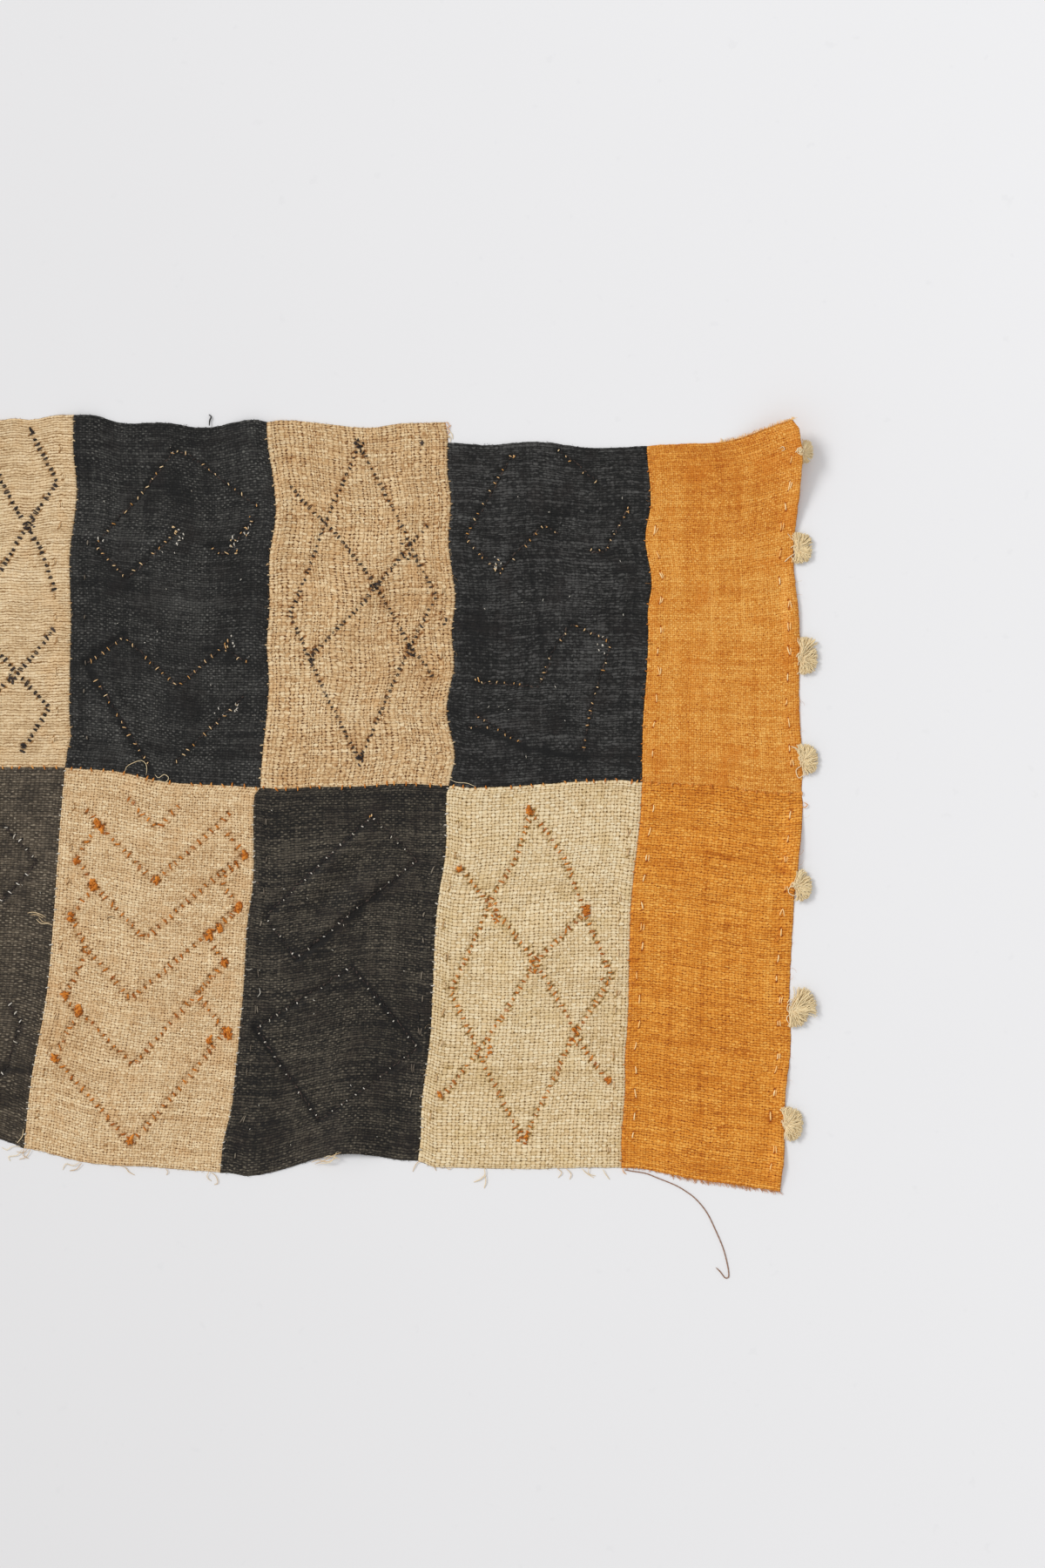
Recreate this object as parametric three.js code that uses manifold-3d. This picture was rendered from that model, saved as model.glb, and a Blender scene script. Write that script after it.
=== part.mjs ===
// A Kuba raffia cloth: ten hand-woven raffia panels whipped edge to edge, lying on a floor.
// Two rows of four patch panels end in an orange border of two pieces, with seven pompoms
// along its outer edge and one loose sewing thread at its foot.
// Units are millimetres, +Z is up. The cloth is laid out in sheet coordinates, with x along
// the rows and y up them, and the finished group is moved so that the middle of its
// footprint is the origin.
import * as THREE from "three";
import { mergeVertices } from "three/addons/utils/BufferGeometryUtils.js";
import Module from "manifold-3d";

// Driving dimensions
const THICKNESS = 1.5;
const SEAM_GAP = 0.36;
const CELLS_ACROSS = 9;
const CELLS_DOWN = 18;

// Where the panels' corners lie, left to right
const CORNERS = {
  top: [
    { x: -105, y: 334.5 }, { x: 68, y: 339 }, { x: 245, y: 332.5 },
    { x: 409, y: 332.5 }, { x: 594.5, y: 310.5 }, { x: 726.5, y: 332 },
  ],
  middle: [
    { x: -114.5, y: 15 }, { x: 60, y: 15 }, { x: 239, y: -3.5 },
    { x: 413, y: -1.5 }, { x: 590, y: 1.5 }, { x: 737, y: -8 },
  ],
  bottom: [
    { x: -156, y: -320 }, { x: 22, y: -335 }, { x: 202.5, y: -357.5 },
    { x: 384, y: -346.5 }, { x: 571, y: -353 }, { x: 717, y: -374.5 },
  ],
};

// How each edge wanders off the straight line between its corners. A row is one crest or
// hollow: at is its share of the way, out its distance to the right or upwards.
const UPPER_SEAMS = [
  [{ at: 0.3, out: -2 }, { at: 0.7, out: 1.5 }],
  [{ at: 0.08, out: 0.5 }, { at: 0.22, out: 4.5 }, { at: 0.41, out: -0.5 }, { at: 0.6, out: 2 },
    { at: 0.84, out: 2.5 }, { at: 0.91, out: 4.4 }, { at: 0.97, out: 1 }],
  [{ at: 0.25, out: 10 }, { at: 0.39, out: 4.5 }, { at: 0.52, out: 5.4 }, { at: 0.61, out: 3.7 },
    { at: 0.71, out: 6.3 }],
  [{ at: 0.04, out: 2 }, { at: 0.12, out: 1.5 }, { at: 0.22, out: 4.4 }, { at: 0.33, out: 1.8 },
    { at: 0.49, out: 7.4 }, { at: 0.58, out: 3.8 }, { at: 0.66, out: 5.6 },
    { at: 0.79, out: -1.8 }, { at: 0.92, out: 5.2 }],
  [{ at: 0.17, out: 4.1 }, { at: 0.27, out: -0.4 }, { at: 0.41, out: 5.9 }, { at: 0.5, out: 2.8 },
    { at: 0.57, out: 3.7 }, { at: 0.88, out: -0.4 }],
  [{ at: 0.03, out: 6 }, { at: 0.09, out: 8.5 }, { at: 0.38, out: -0.9 }, { at: 0.55, out: 2.6 },
    { at: 0.79, out: 0.2 }, { at: 0.93, out: 2 }],
];
const LOWER_SEAMS = [
  [{ at: 0.3, out: 2 }, { at: 0.6, out: 4 }],
  [{ at: 0.57, out: 5.6 }, { at: 0.87, out: -0.5 }],
  [{ at: 0.02, out: -4.2 }, { at: 0.26, out: 2.7 }, { at: 0.35, out: 1.3 }, { at: 0.54, out: 4 },
    { at: 0.68, out: 4.4 }, { at: 0.81, out: 4.6 }, { at: 0.94, out: -0.5 }],
  [{ at: 0.02, out: -2 }, { at: 0.17, out: 1.5 }, { at: 0.34, out: -2 }, { at: 0.67, out: 1.6 },
    { at: 0.84, out: -1 }, { at: 0.95, out: 0.6 }],
  [{ at: 0.06, out: 0.2 }, { at: 0.33, out: -4.3 }, { at: 0.64, out: -1.5 },
    { at: 0.7, out: -2.4 }, { at: 0.79, out: -0.5 }, { at: 0.92, out: -1.5 }],
  [{ at: 0.04, out: 1.8 }, { at: 0.31, out: -1.7 }, { at: 0.48, out: -1.5 },
    { at: 0.65, out: 2.5 }, { at: 0.75, out: 0 }, { at: 0.91, out: 1.9 }],
];
const TOP_EDGES = [
  [{ at: 0.3, out: 1.5 }, { at: 0.61, out: -2.6 }, { at: 0.68, out: -1.3 },
    { at: 0.76, out: -3 }, { at: 0.92, out: 0.5 }],
  [{ at: 0.09, out: 0.6 }, { at: 0.26, out: -5.7 }, { at: 0.46, out: -3.7 },
    { at: 0.66, out: -7 }, { at: 0.95, out: 1.9 }],
  [{ at: 0.09, out: 2 }, { at: 0.57, out: -4.8 }, { at: 0.8, out: -0.6 }],
  [{ at: 0.19, out: -1.5 }, { at: 0.45, out: 2.3 }, { at: 0.74, out: -2.5 }],
  [{ at: 0.56, out: -7.3 }],
];
const MIDDLE_EDGES = [
  [{ at: 0.35, out: 0.6 }],
  [{ at: 0.24, out: 1.5 }, { at: 0.53, out: -3.6 }],
  [{ at: 0.11, out: -1.4 }, { at: 0.31, out: 0.2 }, { at: 0.5, out: 0 }, { at: 0.74, out: 2.2 }],
  [{ at: 0.12, out: -2.4 }, { at: 0.88, out: 2.6 }],
  [{ at: 0.42, out: 0.9 }, { at: 0.83, out: -2.7 }],
];
const BOTTOM_EDGES = [
  [{ at: 0.35, out: 2.5 }, { at: 0.86, out: 7.6 }, { at: 0.94, out: 4 }],
  [{ at: 0.35, out: -6.2 }, { at: 0.76, out: -1.8 }],
  [{ at: 0.15, out: -4.4 }, { at: 0.64, out: 10.8 }],
  [{ at: 0.08, out: -5.3 }, { at: 0.4, out: -4.7 }],
  [{ at: 0.1, out: 2 }, { at: 0.5, out: -0.8 }, { at: 0.7, out: -0.3 }],
];

// The third panel of the upper row stands one step above the fourth
const STEP_SEAM = 3;
const STEP_SHARE = 1 / CELLS_DOWN;

// Soft swells that stand off the floor: along and across are half lengths, turn is in
// degrees from +X, high is the lift at the crest
const SWELLS = [
  { x: 74, y: 322, along: 46, across: 34, turn: 80, high: 4 },
  { x: 232, y: 318, along: 44, across: 32, turn: 95, high: 3.5 },
  { x: 108, y: 56, along: 62, across: 24, turn: 122, high: 4.5 },
  { x: 166, y: 70, along: 60, across: 26, turn: 126, high: 3.5 },
  { x: 160, y: 210, along: 70, across: 52, turn: 10, high: 3 },
  { x: 196, y: 168, along: 60, across: 30, turn: 30, high: 2.5 },
  { x: 255, y: 232, along: 54, across: 18, turn: 85, high: 3 },
  { x: 330, y: 176, along: 90, across: 34, turn: 62, high: 2.5 },
  { x: 372, y: 266, along: 52, across: 26, turn: 80, high: 2.5 },
  { x: 484, y: 246, along: 60, across: 34, turn: 50, high: 3 },
  { x: 540, y: 150, along: 66, across: 34, turn: 70, high: 3 },
  { x: 470, y: 66, along: 62, across: 20, turn: -12, high: 4 },
  { x: 484, y: 26, along: 56, across: 18, turn: -10, high: 3.5 },
  { x: 300, y: -80, along: 66, across: 18, turn: 44, high: 3.5 },
  { x: 326, y: -106, along: 64, across: 18, turn: 42, high: 3.5 },
  { x: 318, y: -262, along: 70, across: 26, turn: 128, high: 3.5 },
  { x: 322, y: -330, along: 44, across: 40, turn: 90, high: 6 },
  { x: 120, y: -210, along: 80, across: 36, turn: 60, high: 2 },
  { x: 480, y: -180, along: 92, across: 36, turn: 66, high: 2 },
  { x: 664, y: -64, along: 58, across: 18, turn: -14, high: 2.5 },
  { x: 728, y: 160, along: 56, across: 12, turn: 92, high: 3 },
  { x: 20, y: 180, along: 60, across: 30, turn: 75, high: 2 },
  { x: -10, y: -276, along: 64, across: 24, turn: 8, high: 2.5 },
  { x: 733, y: -66, along: 52, across: 20, turn: 92, high: 4.5 },
  { x: 727, y: -280, along: 34, across: 16, turn: 92, high: 3 },
  { x: 720, y: -352, along: 34, across: 18, turn: 92, high: 4 },
];

// The upper outer corner of the orange border stands off the floor beyond a soft fold: reach
// is the corner's distance from the fold, high its lift there, and bend how late it rises
const FLAP = {
  from: { x: 664, y: 313.6 }, to: { x: 736.8, y: 204 }, reach: 62, high: 27, bend: 1.5,
};

// Pompoms: y is where each one is tied to the outer edge, reach how far it stands out from
// the edge and tall its size along the edge
const POMPOMS = [
  { y: 307, reach: 13, tall: 23, turn: -4 },
  { y: 216, reach: 14.5, tall: 32, turn: -6 },
  { y: 118, reach: 17, tall: 37, turn: 3 },
  { y: 19, reach: 17, tall: 34, turn: 6 },
  { y: -94, reach: 15, tall: 33, turn: -3 },
  { y: -202, reach: 24, tall: 38, turn: 4 },
  { y: -317, reach: 18, tall: 31, turn: -2 },
];
const POMPOM_KNOT = { reach: 3.6, high: 2.6, sides: 10, rings: 6 };

// Locks of a pompom: the fan is its half angle in degrees, droop how far a raised lock sags
// back, tip its width at the end, and uneven how much shorter each one in turn is
const LOCK = { width: 1.2, fan: 92, droop: 0.45, tip: 0.7, longest: 1.08, uneven: 0.07 };
const TIP_DROP = 0.9;
const STEEPEST = 0.7;
const LOCK_TIERS = [
  { locks: 11, rise: 0, share: 1, sides: 4 },
  { locks: 8, rise: 26, share: 0.95, sides: 3 },
  { locks: 5, rise: 52, share: 0.72, sides: 3 },
  { locks: 2, rise: 80, share: 0.5, sides: 3 },
];

// The loose thread runs from the foot of the orange border and doubles back at its end
const THREAD = { diameter: 1, sides: 8, steps: 76 };
const THREAD_ROUTE = [
  { x: 574.4, y: -354.2, z: 0.75 }, { x: 577.4, y: -354.9, z: 0.62 },
  { x: 580.6, y: -355.5, z: 0.52 }, { x: 587, y: -356.4, z: 0.52 },
  { x: 593.6, y: -357.7, z: 0.52 }, { x: 605.6, y: -362.4, z: 0.52 },
  { x: 621.2, y: -368.8, z: 0.52 }, { x: 629.8, y: -373.9, z: 0.52 },
  { x: 638.4, y: -380.4, z: 0.52 }, { x: 648.8, y: -392.8, z: 0.52 },
  { x: 657.6, y: -410.4, z: 0.52 }, { x: 664, y: -425.6, z: 0.52 },
  { x: 667.2, y: -436.8, z: 0.52 }, { x: 669.4, y: -449, z: 0.52 },
  { x: 669, y: -453, z: 0.52 }, { x: 666.4, y: -453.6, z: 0.52 },
  { x: 664.4, y: -451.6, z: 0.52 }, { x: 661.4, y: -447.6, z: 0.52 },
  { x: 657.6, y: -444, z: 0.52 },
];

const MATERIALS = {
  natural: { color: 0xcfae7c, roughness: 0.9 },
  pale: { color: 0xd3bd8f, roughness: 0.9 },
  black: { color: 0x2c2b2b, roughness: 0.85 },
  orange: { color: 0xcf8436, roughness: 0.88 },
  cream: { color: 0xd9c39a, roughness: 0.95 },
  thread: { color: 0x8f6a52, roughness: 0.8 },
};

const wasm = await Module();
wasm.setup();

function material(name) {
  return new THREE.MeshStandardMaterial({ ...MATERIALS[name], metalness: 0 });
}

// The height of a run of crests and hollows at a share of the way, eased from row to row
function wander(rows, share) {
  const run = [{ at: 0, out: 0 }, ...rows, { at: 1, out: 0 }];
  const next = Math.max(1, run.findIndex((row) => row.at >= share));
  const [a, b] = [run[next - 1], run[next]];
  return a.out + (b.out - a.out) * THREE.MathUtils.smoothstep(share, a.at, b.at);
}

// A point on an upright seam, or on an edge that runs along the cloth
function alongSeam(from, to, rows, share) {
  const way = new THREE.Vector2().lerpVectors(from, to, share);
  way.x += wander(rows, share);
  return way;
}

function alongEdge(from, to, rows, share) {
  const way = new THREE.Vector2().lerpVectors(from, to, share);
  way.y += wander(rows, share);
  return way;
}

// How far the underside stands off the floor
function lift(x, y) {
  let height = 0;
  for (const swell of SWELLS) {
    const turn = THREE.MathUtils.degToRad(swell.turn);
    const dx = x - swell.x;
    const dy = y - swell.y;
    const along = (dx * Math.cos(turn) + dy * Math.sin(turn)) / swell.along;
    const across = (dy * Math.cos(turn) - dx * Math.sin(turn)) / swell.across;
    const fade = Math.max(0, 1 - along * along - across * across);
    height = Math.max(height, swell.high * fade * fade);
  }
  const { from, to } = FLAP;
  const fold = new THREE.Vector2(to.x - from.x, to.y - from.y).normalize();
  const past = (y - from.y) * fold.x - (x - from.x) * fold.y;
  return height + FLAP.high * Math.max(0, past / FLAP.reach) ** FLAP.bend;
}

// The four sides of a panel in one row and column, each a function of a share of the way
function panelSides(row, column) {
  const seams = row === "upper" ? UPPER_SEAMS : LOWER_SEAMS;
  const heads = row === "upper" ? CORNERS.top : CORNERS.middle;
  const feet = row === "upper" ? CORNERS.middle : CORNERS.bottom;
  const seam = (index, share) => alongSeam(heads[index], feet[index], seams[index], share);
  const stepped = row === "upper" && column === STEP_SEAM;
  const start = stepped ? STEP_SHARE : 0;
  const headRows = row === "upper" ? TOP_EDGES : MIDDLE_EDGES;
  const footRows = row === "upper" ? MIDDLE_EDGES : BOTTOM_EDGES;
  const headStart = stepped ? seam(column, start) : heads[column];
  return {
    left: (share) => seam(column, start + (1 - start) * share),
    right: (share) => seam(column + 1, share),
    head: (share) => alongEdge(headStart, heads[column + 1], headRows[column], share),
    foot: (share) => alongEdge(feet[column], feet[column + 1], footRows[column], share),
  };
}

// A point inside the four sides, blended from all of them
function blend(sides, u, v) {
  const point = new THREE.Vector2();
  point.addScaledVector(sides.head(u), 1 - v).addScaledVector(sides.foot(u), v);
  point.addScaledVector(sides.left(v), 1 - u).addScaledVector(sides.right(v), u);
  point.addScaledVector(sides.head(0), -(1 - u) * (1 - v));
  point.addScaledVector(sides.head(1), -u * (1 - v));
  point.addScaledVector(sides.foot(0), -(1 - u) * v);
  return point.addScaledVector(sides.foot(1), -u * v);
}

// A thin closed sheet: a grid of points on top, the same below, and a wall round the rim
function panelGeometry(row, column) {
  const sides = panelSides(row, column);
  const down = row === "upper" && column >= STEP_SEAM ? CELLS_DOWN - 1 : CELLS_DOWN;
  const positions = [];
  for (const level of [0, THICKNESS]) {
    for (let j = 0; j <= down; j += 1) {
      for (let i = 0; i <= CELLS_ACROSS; i += 1) {
        const point = blend(sides, i / CELLS_ACROSS, j / down);
        const inX = i === 0 ? SEAM_GAP / 2 : i === CELLS_ACROSS ? -SEAM_GAP / 2 : 0;
        const inY = j === 0 ? -SEAM_GAP / 2 : j === down ? SEAM_GAP / 2 : 0;
        positions.push(point.x + inX, point.y + inY, lift(point.x, point.y) + level);
      }
    }
  }
  const rowLength = CELLS_ACROSS + 1;
  const layer = rowLength * (down + 1);
  const index = [];
  for (let j = 0; j < down; j += 1) {
    for (let i = 0; i < CELLS_ACROSS; i += 1) {
      const a = j * rowLength + i;
      const [b, c, d] = [a + 1, a + rowLength, a + rowLength + 1];
      index.push(a, b, d, a, d, c);
      index.push(layer + a, layer + d, layer + b, layer + a, layer + c, layer + d);
    }
  }
  const rim = [];
  for (let i = 0; i < CELLS_ACROSS; i += 1) rim.push(i);
  for (let j = 0; j < down; j += 1) rim.push(j * rowLength + CELLS_ACROSS);
  for (let i = CELLS_ACROSS; i > 0; i -= 1) rim.push(down * rowLength + i);
  for (let j = down; j > 0; j -= 1) rim.push(j * rowLength);
  rim.forEach((a, place) => {
    const b = rim[(place + 1) % rim.length];
    index.push(a, layer + a, layer + b, a, layer + b, b);
  });
  const geometry = new THREE.BufferGeometry();
  geometry.setAttribute("position", new THREE.Float32BufferAttribute(positions, 3));
  geometry.setIndex(index);
  geometry.computeVertexNormals();
  return geometry;
}

function panel(name, row, column, colour) {
  const mesh = new THREE.Mesh(panelGeometry(row, column), material(colour));
  mesh.name = name;
  return mesh;
}

function toSolid(geometry) {
  const bare = geometry.clone();
  bare.deleteAttribute("normal");
  bare.deleteAttribute("uv");
  const merged = mergeVertices(bare, 1e-4);
  return new wasm.Manifold(new wasm.Mesh({
    numProp: 3,
    vertProperties: merged.attributes.position.array,
    triVerts: new Uint32Array(merged.index.array),
  }));
}

function fromSolid(solid) {
  const { vertProperties, triVerts } = solid.getMesh();
  const geometry = new THREE.BufferGeometry();
  geometry.setAttribute("position", new THREE.BufferAttribute(vertProperties, 3));
  geometry.setIndex(new THREE.BufferAttribute(triVerts, 1));
  geometry.computeVertexNormals();
  return geometry;
}

// The x of the outer edge's facets at a height up the cloth
function outerEdge(y) {
  const [head, middle, foot] = [CORNERS.top, CORNERS.middle, CORNERS.bottom].map((row) => row.at(-1));
  const upper = y > middle.y;
  const [from, to] = upper ? [head, middle] : [middle, foot];
  const rows = (upper ? UPPER_SEAMS : LOWER_SEAMS).at(-1);
  const cells = upper ? CELLS_DOWN - 1 : CELLS_DOWN;
  const place = cells * (from.y - y) / (from.y - to.y);
  const above = alongSeam(from, to, rows, Math.floor(place) / cells);
  const below = alongSeam(from, to, rows, Math.ceil(place) / cells);
  return THREE.MathUtils.mapLinear(y, above.y, below.y, above.x, below.x);
}

// One lock of raffia from the knot outwards: square and level on the floor, or three-sided,
// rising and then drooping
function lockGeometry(tier, heading, length) {
  const level = tier.rise === 0;
  const radius = LOCK.width / Math.sqrt(level ? 2 : 3);
  const rise = THREE.MathUtils.degToRad(tier.rise);
  const geometry = new THREE.CylinderGeometry(
    level ? radius : radius * LOCK.tip, radius, length, tier.sides, level ? 1 : 2);
  geometry.rotateY(level ? Math.PI / 4 : 0);
  geometry.translate(0, length / 2, 0);
  const position = geometry.attributes.position;
  for (let i = 0; i < position.count; i += 1) {
    const out = position.getY(i);
    const droop = LOCK.droop * length * Math.sin(rise) * (out / length) ** 2;
    position.setXYZ(i, position.getX(i), out * Math.cos(rise),
      position.getZ(i) + out * Math.sin(rise) - droop);
  }
  geometry.rotateZ(heading - Math.PI / 2);
  geometry.translate(0, 0, level ? LOCK.width / 2 : LOCK.width);
  return geometry;
}

// A knot at the cloth's edge with locks fanned out from it in tiers. Where the edge is off
// the floor the knot hangs from it and the fan tips down.
function pompom(name, { y, reach, tall, turn }) {
  const { reach: knotReach, high: knotHigh, sides, rings } = POMPOM_KNOT;
  const knot = new THREE.SphereGeometry(1, sides, rings);
  knot.scale(knotReach, knotReach, knotHigh);
  knot.translate(0, 0, knotHigh);
  let solid = toSolid(knot);
  for (const tier of LOCK_TIERS) {
    for (let i = 0; i < tier.locks; i += 1) {
      const swing = (2 * (i + 0.5) / tier.locks - 1) * LOCK.fan + turn;
      const heading = THREE.MathUtils.degToRad(swing);
      const uneven = LOCK.longest - LOCK.uneven * ((i * 5 + tier.locks) % 3);
      const round = 1 / Math.hypot(
        Math.cos(heading) / (reach - knotReach), Math.sin(heading) * 2 / tall);
      solid = solid.add(toSolid(lockGeometry(tier, heading, round * tier.share * uneven)));
    }
  }
  const mesh = new THREE.Mesh(fromSolid(solid.translate(0, 0, -knotHigh)), material("cream"));
  const edge = outerEdge(y);
  const hang = Math.max(0, lift(edge, y) + THICKNESS / 2 - knotHigh);
  mesh.rotation.y = Math.asin(Math.min(STEEPEST, TIP_DROP * hang / (reach - knotReach)));
  mesh.position.set(edge + knotReach + SEAM_GAP / 2, y, hang + knotHigh);
  mesh.name = name;
  return mesh;
}

function looseThread() {
  const route = THREAD_ROUTE.map(({ x, y, z }) => new THREE.Vector3(x, y, z));
  const path = new THREE.CatmullRomCurve3(route, false, "centripetal");
  const section = new THREE.Shape();
  for (let i = 0; i < THREAD.sides; i += 1) {
    const turn = (i + 0.5) * 2 * Math.PI / THREAD.sides;
    const x = Math.cos(turn) * THREAD.diameter / 2;
    const y = Math.sin(turn) * THREAD.diameter / 2;
    if (i === 0) section.moveTo(x, y);
    else section.lineTo(x, y);
  }
  const geometry = new THREE.ExtrudeGeometry(section, { steps: THREAD.steps, extrudePath: path });
  const mesh = new THREE.Mesh(geometry, material("thread"));
  mesh.name = "loose_thread";
  return mesh;
}

const sheet = new THREE.Group();
const UPPER_COLOURS = ["natural", "black", "natural", "black", "orange"];
const LOWER_COLOURS = ["black", "natural", "black", "pale", "orange"];
UPPER_COLOURS.forEach((colour, column) => {
  sheet.add(panel(`upper_${column + 1}_${colour}`, "upper", column, colour));
});
LOWER_COLOURS.forEach((colour, column) => {
  sheet.add(panel(`lower_${column + 1}_${colour}`, "lower", column, colour));
});
POMPOMS.forEach((row, place) => sheet.add(pompom(`pompom_${place + 1}`, row)));

// The footprint without the thread is centred on the origin
const middle = new THREE.Box3().setFromObject(sheet).getCenter(new THREE.Vector3());
sheet.add(looseThread());
sheet.position.set(-middle.x, -middle.y, 0);

const group = new THREE.Group();
group.add(sheet);

export default group;
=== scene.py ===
"""Looks of a Kuba raffia cloth: ten hand-woven raffia panels, whipped edge to edge on a floor.

Lengths are metres. The cloth is laid out in sheet millimetres, x along the rows and y up
them, and MIDDLE moves them into the row frame. Spots read off the photograph are in its
pixels, 0.8 mm each.
"""
import math

import bpy
import numpy as np
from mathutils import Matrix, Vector


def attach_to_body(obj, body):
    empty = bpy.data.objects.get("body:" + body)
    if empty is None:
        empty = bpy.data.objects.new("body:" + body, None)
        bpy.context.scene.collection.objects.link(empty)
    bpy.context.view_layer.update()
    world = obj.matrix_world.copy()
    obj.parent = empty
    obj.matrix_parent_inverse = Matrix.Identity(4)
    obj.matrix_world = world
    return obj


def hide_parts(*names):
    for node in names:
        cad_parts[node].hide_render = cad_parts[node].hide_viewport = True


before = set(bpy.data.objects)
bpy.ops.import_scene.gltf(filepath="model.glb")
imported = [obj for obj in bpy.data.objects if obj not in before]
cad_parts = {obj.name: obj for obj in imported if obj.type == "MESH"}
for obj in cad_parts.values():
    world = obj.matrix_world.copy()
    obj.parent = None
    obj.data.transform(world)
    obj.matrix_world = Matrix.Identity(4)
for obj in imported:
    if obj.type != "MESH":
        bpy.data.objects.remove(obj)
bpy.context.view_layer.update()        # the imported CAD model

# Photograph and sheet
MM = 0.001
PIXEL = 0.8 * MM
PHOTO = (1200, 1800)
MIDDLE = np.array([0.300294, -0.01775])

# Where the random draws start, for each kind of detail
SEEDS = dict(stitches=300, hems=52, cloth=100, seams=41, frays=63, strays=74, hairs=85,
             pompoms=700)


def in_sheet(x, y):
    """Photograph pixels as sheet millimetres."""
    return x * PIXEL / MM, (PHOTO[1] / 2 - y) * PIXEL / MM


def in_pixels(x, y):
    """Sheet millimetres as photograph pixels."""
    return x * MM / PIXEL, PHOTO[1] / 2 - y * MM / PIXEL


def seen(edge):
    """An edge in sheet millimetres as points in photograph pixels."""
    return np.stack(in_pixels(*edge.T), axis=-1)


def in_frame(x, y, z):
    """Sheet millimetres as points of the row frame."""
    points = np.stack(np.broadcast_arrays(x, y, z), axis=-1) * MM
    points[..., :2] -= MIDDLE
    return points


def lay(x, y, z):
    """Photograph pixels, and a height in millimetres, as points of the row frame."""
    return in_frame(*in_sheet(x, y), z)


# Camera: straight above the middle of the photograph
CAMERA_HEIGHT = 2.8
SENSOR = 36.0


def add_camera():
    data = bpy.data.cameras.new("camera")
    data.sensor_width = SENSOR
    data.lens = SENSOR * CAMERA_HEIGHT / (PHOTO[1] * PIXEL)
    camera = bpy.data.objects.new("camera", data)
    bpy.context.collection.objects.link(camera)
    camera.location = lay(PHOTO[0] / 2, PHOTO[1] / 2, CAMERA_HEIGHT / MM)
    bpy.context.scene.camera = camera


add_camera()


# Nodes

class Graph:
    """Builds one material's nodes; numbers, colours and sockets may all be given as inputs."""

    # The two inputs and the output of a Mix node, by the kind of value that it mixes
    MIX_SOCKETS = {"FLOAT": (2, 3, 0), "VECTOR": (4, 5, 1), "RGBA": (6, 7, 2)}

    def __init__(self, name):
        self.material = bpy.data.materials.new(name)
        self.material.use_nodes = True
        self.tree = self.material.node_tree
        self.shader = next(n for n in self.tree.nodes if n.type == "BSDF_PRINCIPLED")

    def node(self, kind, **settings):
        node = self.tree.nodes.new(kind)
        for key, value in settings.items():
            setattr(node, key, value)
        return node

    def plug(self, socket, value):
        if isinstance(value, bpy.types.NodeSocket):
            self.tree.links.new(value, socket)
        elif value is not None:
            socket.default_value = value

    def fill(self, node, *values):
        """Plugs the values into the node's inputs in turn, and gives its first output."""
        for socket, value in zip(node.inputs, values):
            self.plug(socket, value)
        return node.outputs[0]

    def shade(self, **inputs):
        """Plugs values into the shader's own sockets, named with underscores for spaces."""
        for name, value in inputs.items():
            self.plug(self.shader.inputs[name.replace("_", " ")], value)

    def math(self, operation, *values, clamp=False):
        return self.fill(
            self.node("ShaderNodeMath", operation=operation, use_clamp=clamp), *values)

    def add(self, *terms):
        total = terms[0]
        for term in terms[1:]:
            total = self.math("ADD", total, term)
        return total

    def times(self, *factors):
        total = factors[0]
        for factor in factors[1:]:
            total = self.math("MULTIPLY", total, factor)
        return total

    def centred(self, value, reach):
        """A value from 0 to 1 as one from -reach to reach."""
        return self.math("MULTIPLY_ADD", value, 2 * reach, -reach)

    def ramp(self, value, low, high, to_low=0.0, to_high=1.0, smooth=True):
        node = self.node(
            "ShaderNodeMapRange",
            interpolation_type="SMOOTHSTEP" if smooth else "LINEAR", clamp=True)
        return self.fill(node, value, low, high, to_low, to_high)

    def mix(self, share, a, b, kind="FLOAT"):
        node = self.node("ShaderNodeMix", data_type=kind)
        first, second, output = self.MIX_SOCKETS[kind]
        self.plug(node.inputs[0], share)
        self.plug(node.inputs[first], a)
        self.plug(node.inputs[second], b)
        return node.outputs[output]

    def colour(self, share, a, b):
        """A mix of two colours, each a socket or a screen colour."""
        a, b = (linear(*c) if isinstance(c, tuple) else c for c in (a, b))
        return self.mix(share, a, b, "RGBA")

    def vector(self, *parts):
        return self.fill(self.node("ShaderNodeCombineXYZ"), *parts)

    def split(self, vector):
        node = self.node("ShaderNodeSeparateXYZ")
        self.plug(node.inputs[0], vector)
        return list(node.outputs)

    def attribute(self, name):
        return self.node("ShaderNodeAttribute", attribute_name=name).outputs["Vector"]

    def place(self):
        return self.node("ShaderNodeTexCoord").outputs["Object"]

    def noise(self, vector, scale=1.0, detail=2.0, roughness=0.5, output="Fac"):
        node = self.node("ShaderNodeTexNoise", noise_dimensions="3D")
        self.plug(node.inputs["Vector"], vector)
        self.plug(node.inputs["Scale"], scale)
        self.plug(node.inputs["Detail"], detail)
        self.plug(node.inputs["Roughness"], roughness)
        return node.outputs[output]

    def white(self, vector):
        node = self.node("ShaderNodeTexWhiteNoise", noise_dimensions="3D")
        self.plug(node.inputs["Vector"], vector)
        return node.outputs["Value"]

    def bump(self, height, strength, distance):
        """Fine relief; the distance is in millimetres."""
        node = self.node("ShaderNodeBump")
        self.plug(node.inputs["Strength"], strength)
        self.plug(node.inputs["Distance"], distance * MM)
        self.plug(node.inputs["Height"], height)
        self.shade(Normal=node.outputs["Normal"])


def linear(red, green, blue):
    """A screen colour from 0 to 255 as a linear one."""
    screen = np.array([red, green, blue]) / 255
    value = np.where(screen <= 0.04045, screen / 12.92, ((screen + 0.055) / 1.055) ** 2.4)
    return (*value.tolist(), 1.0)


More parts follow.
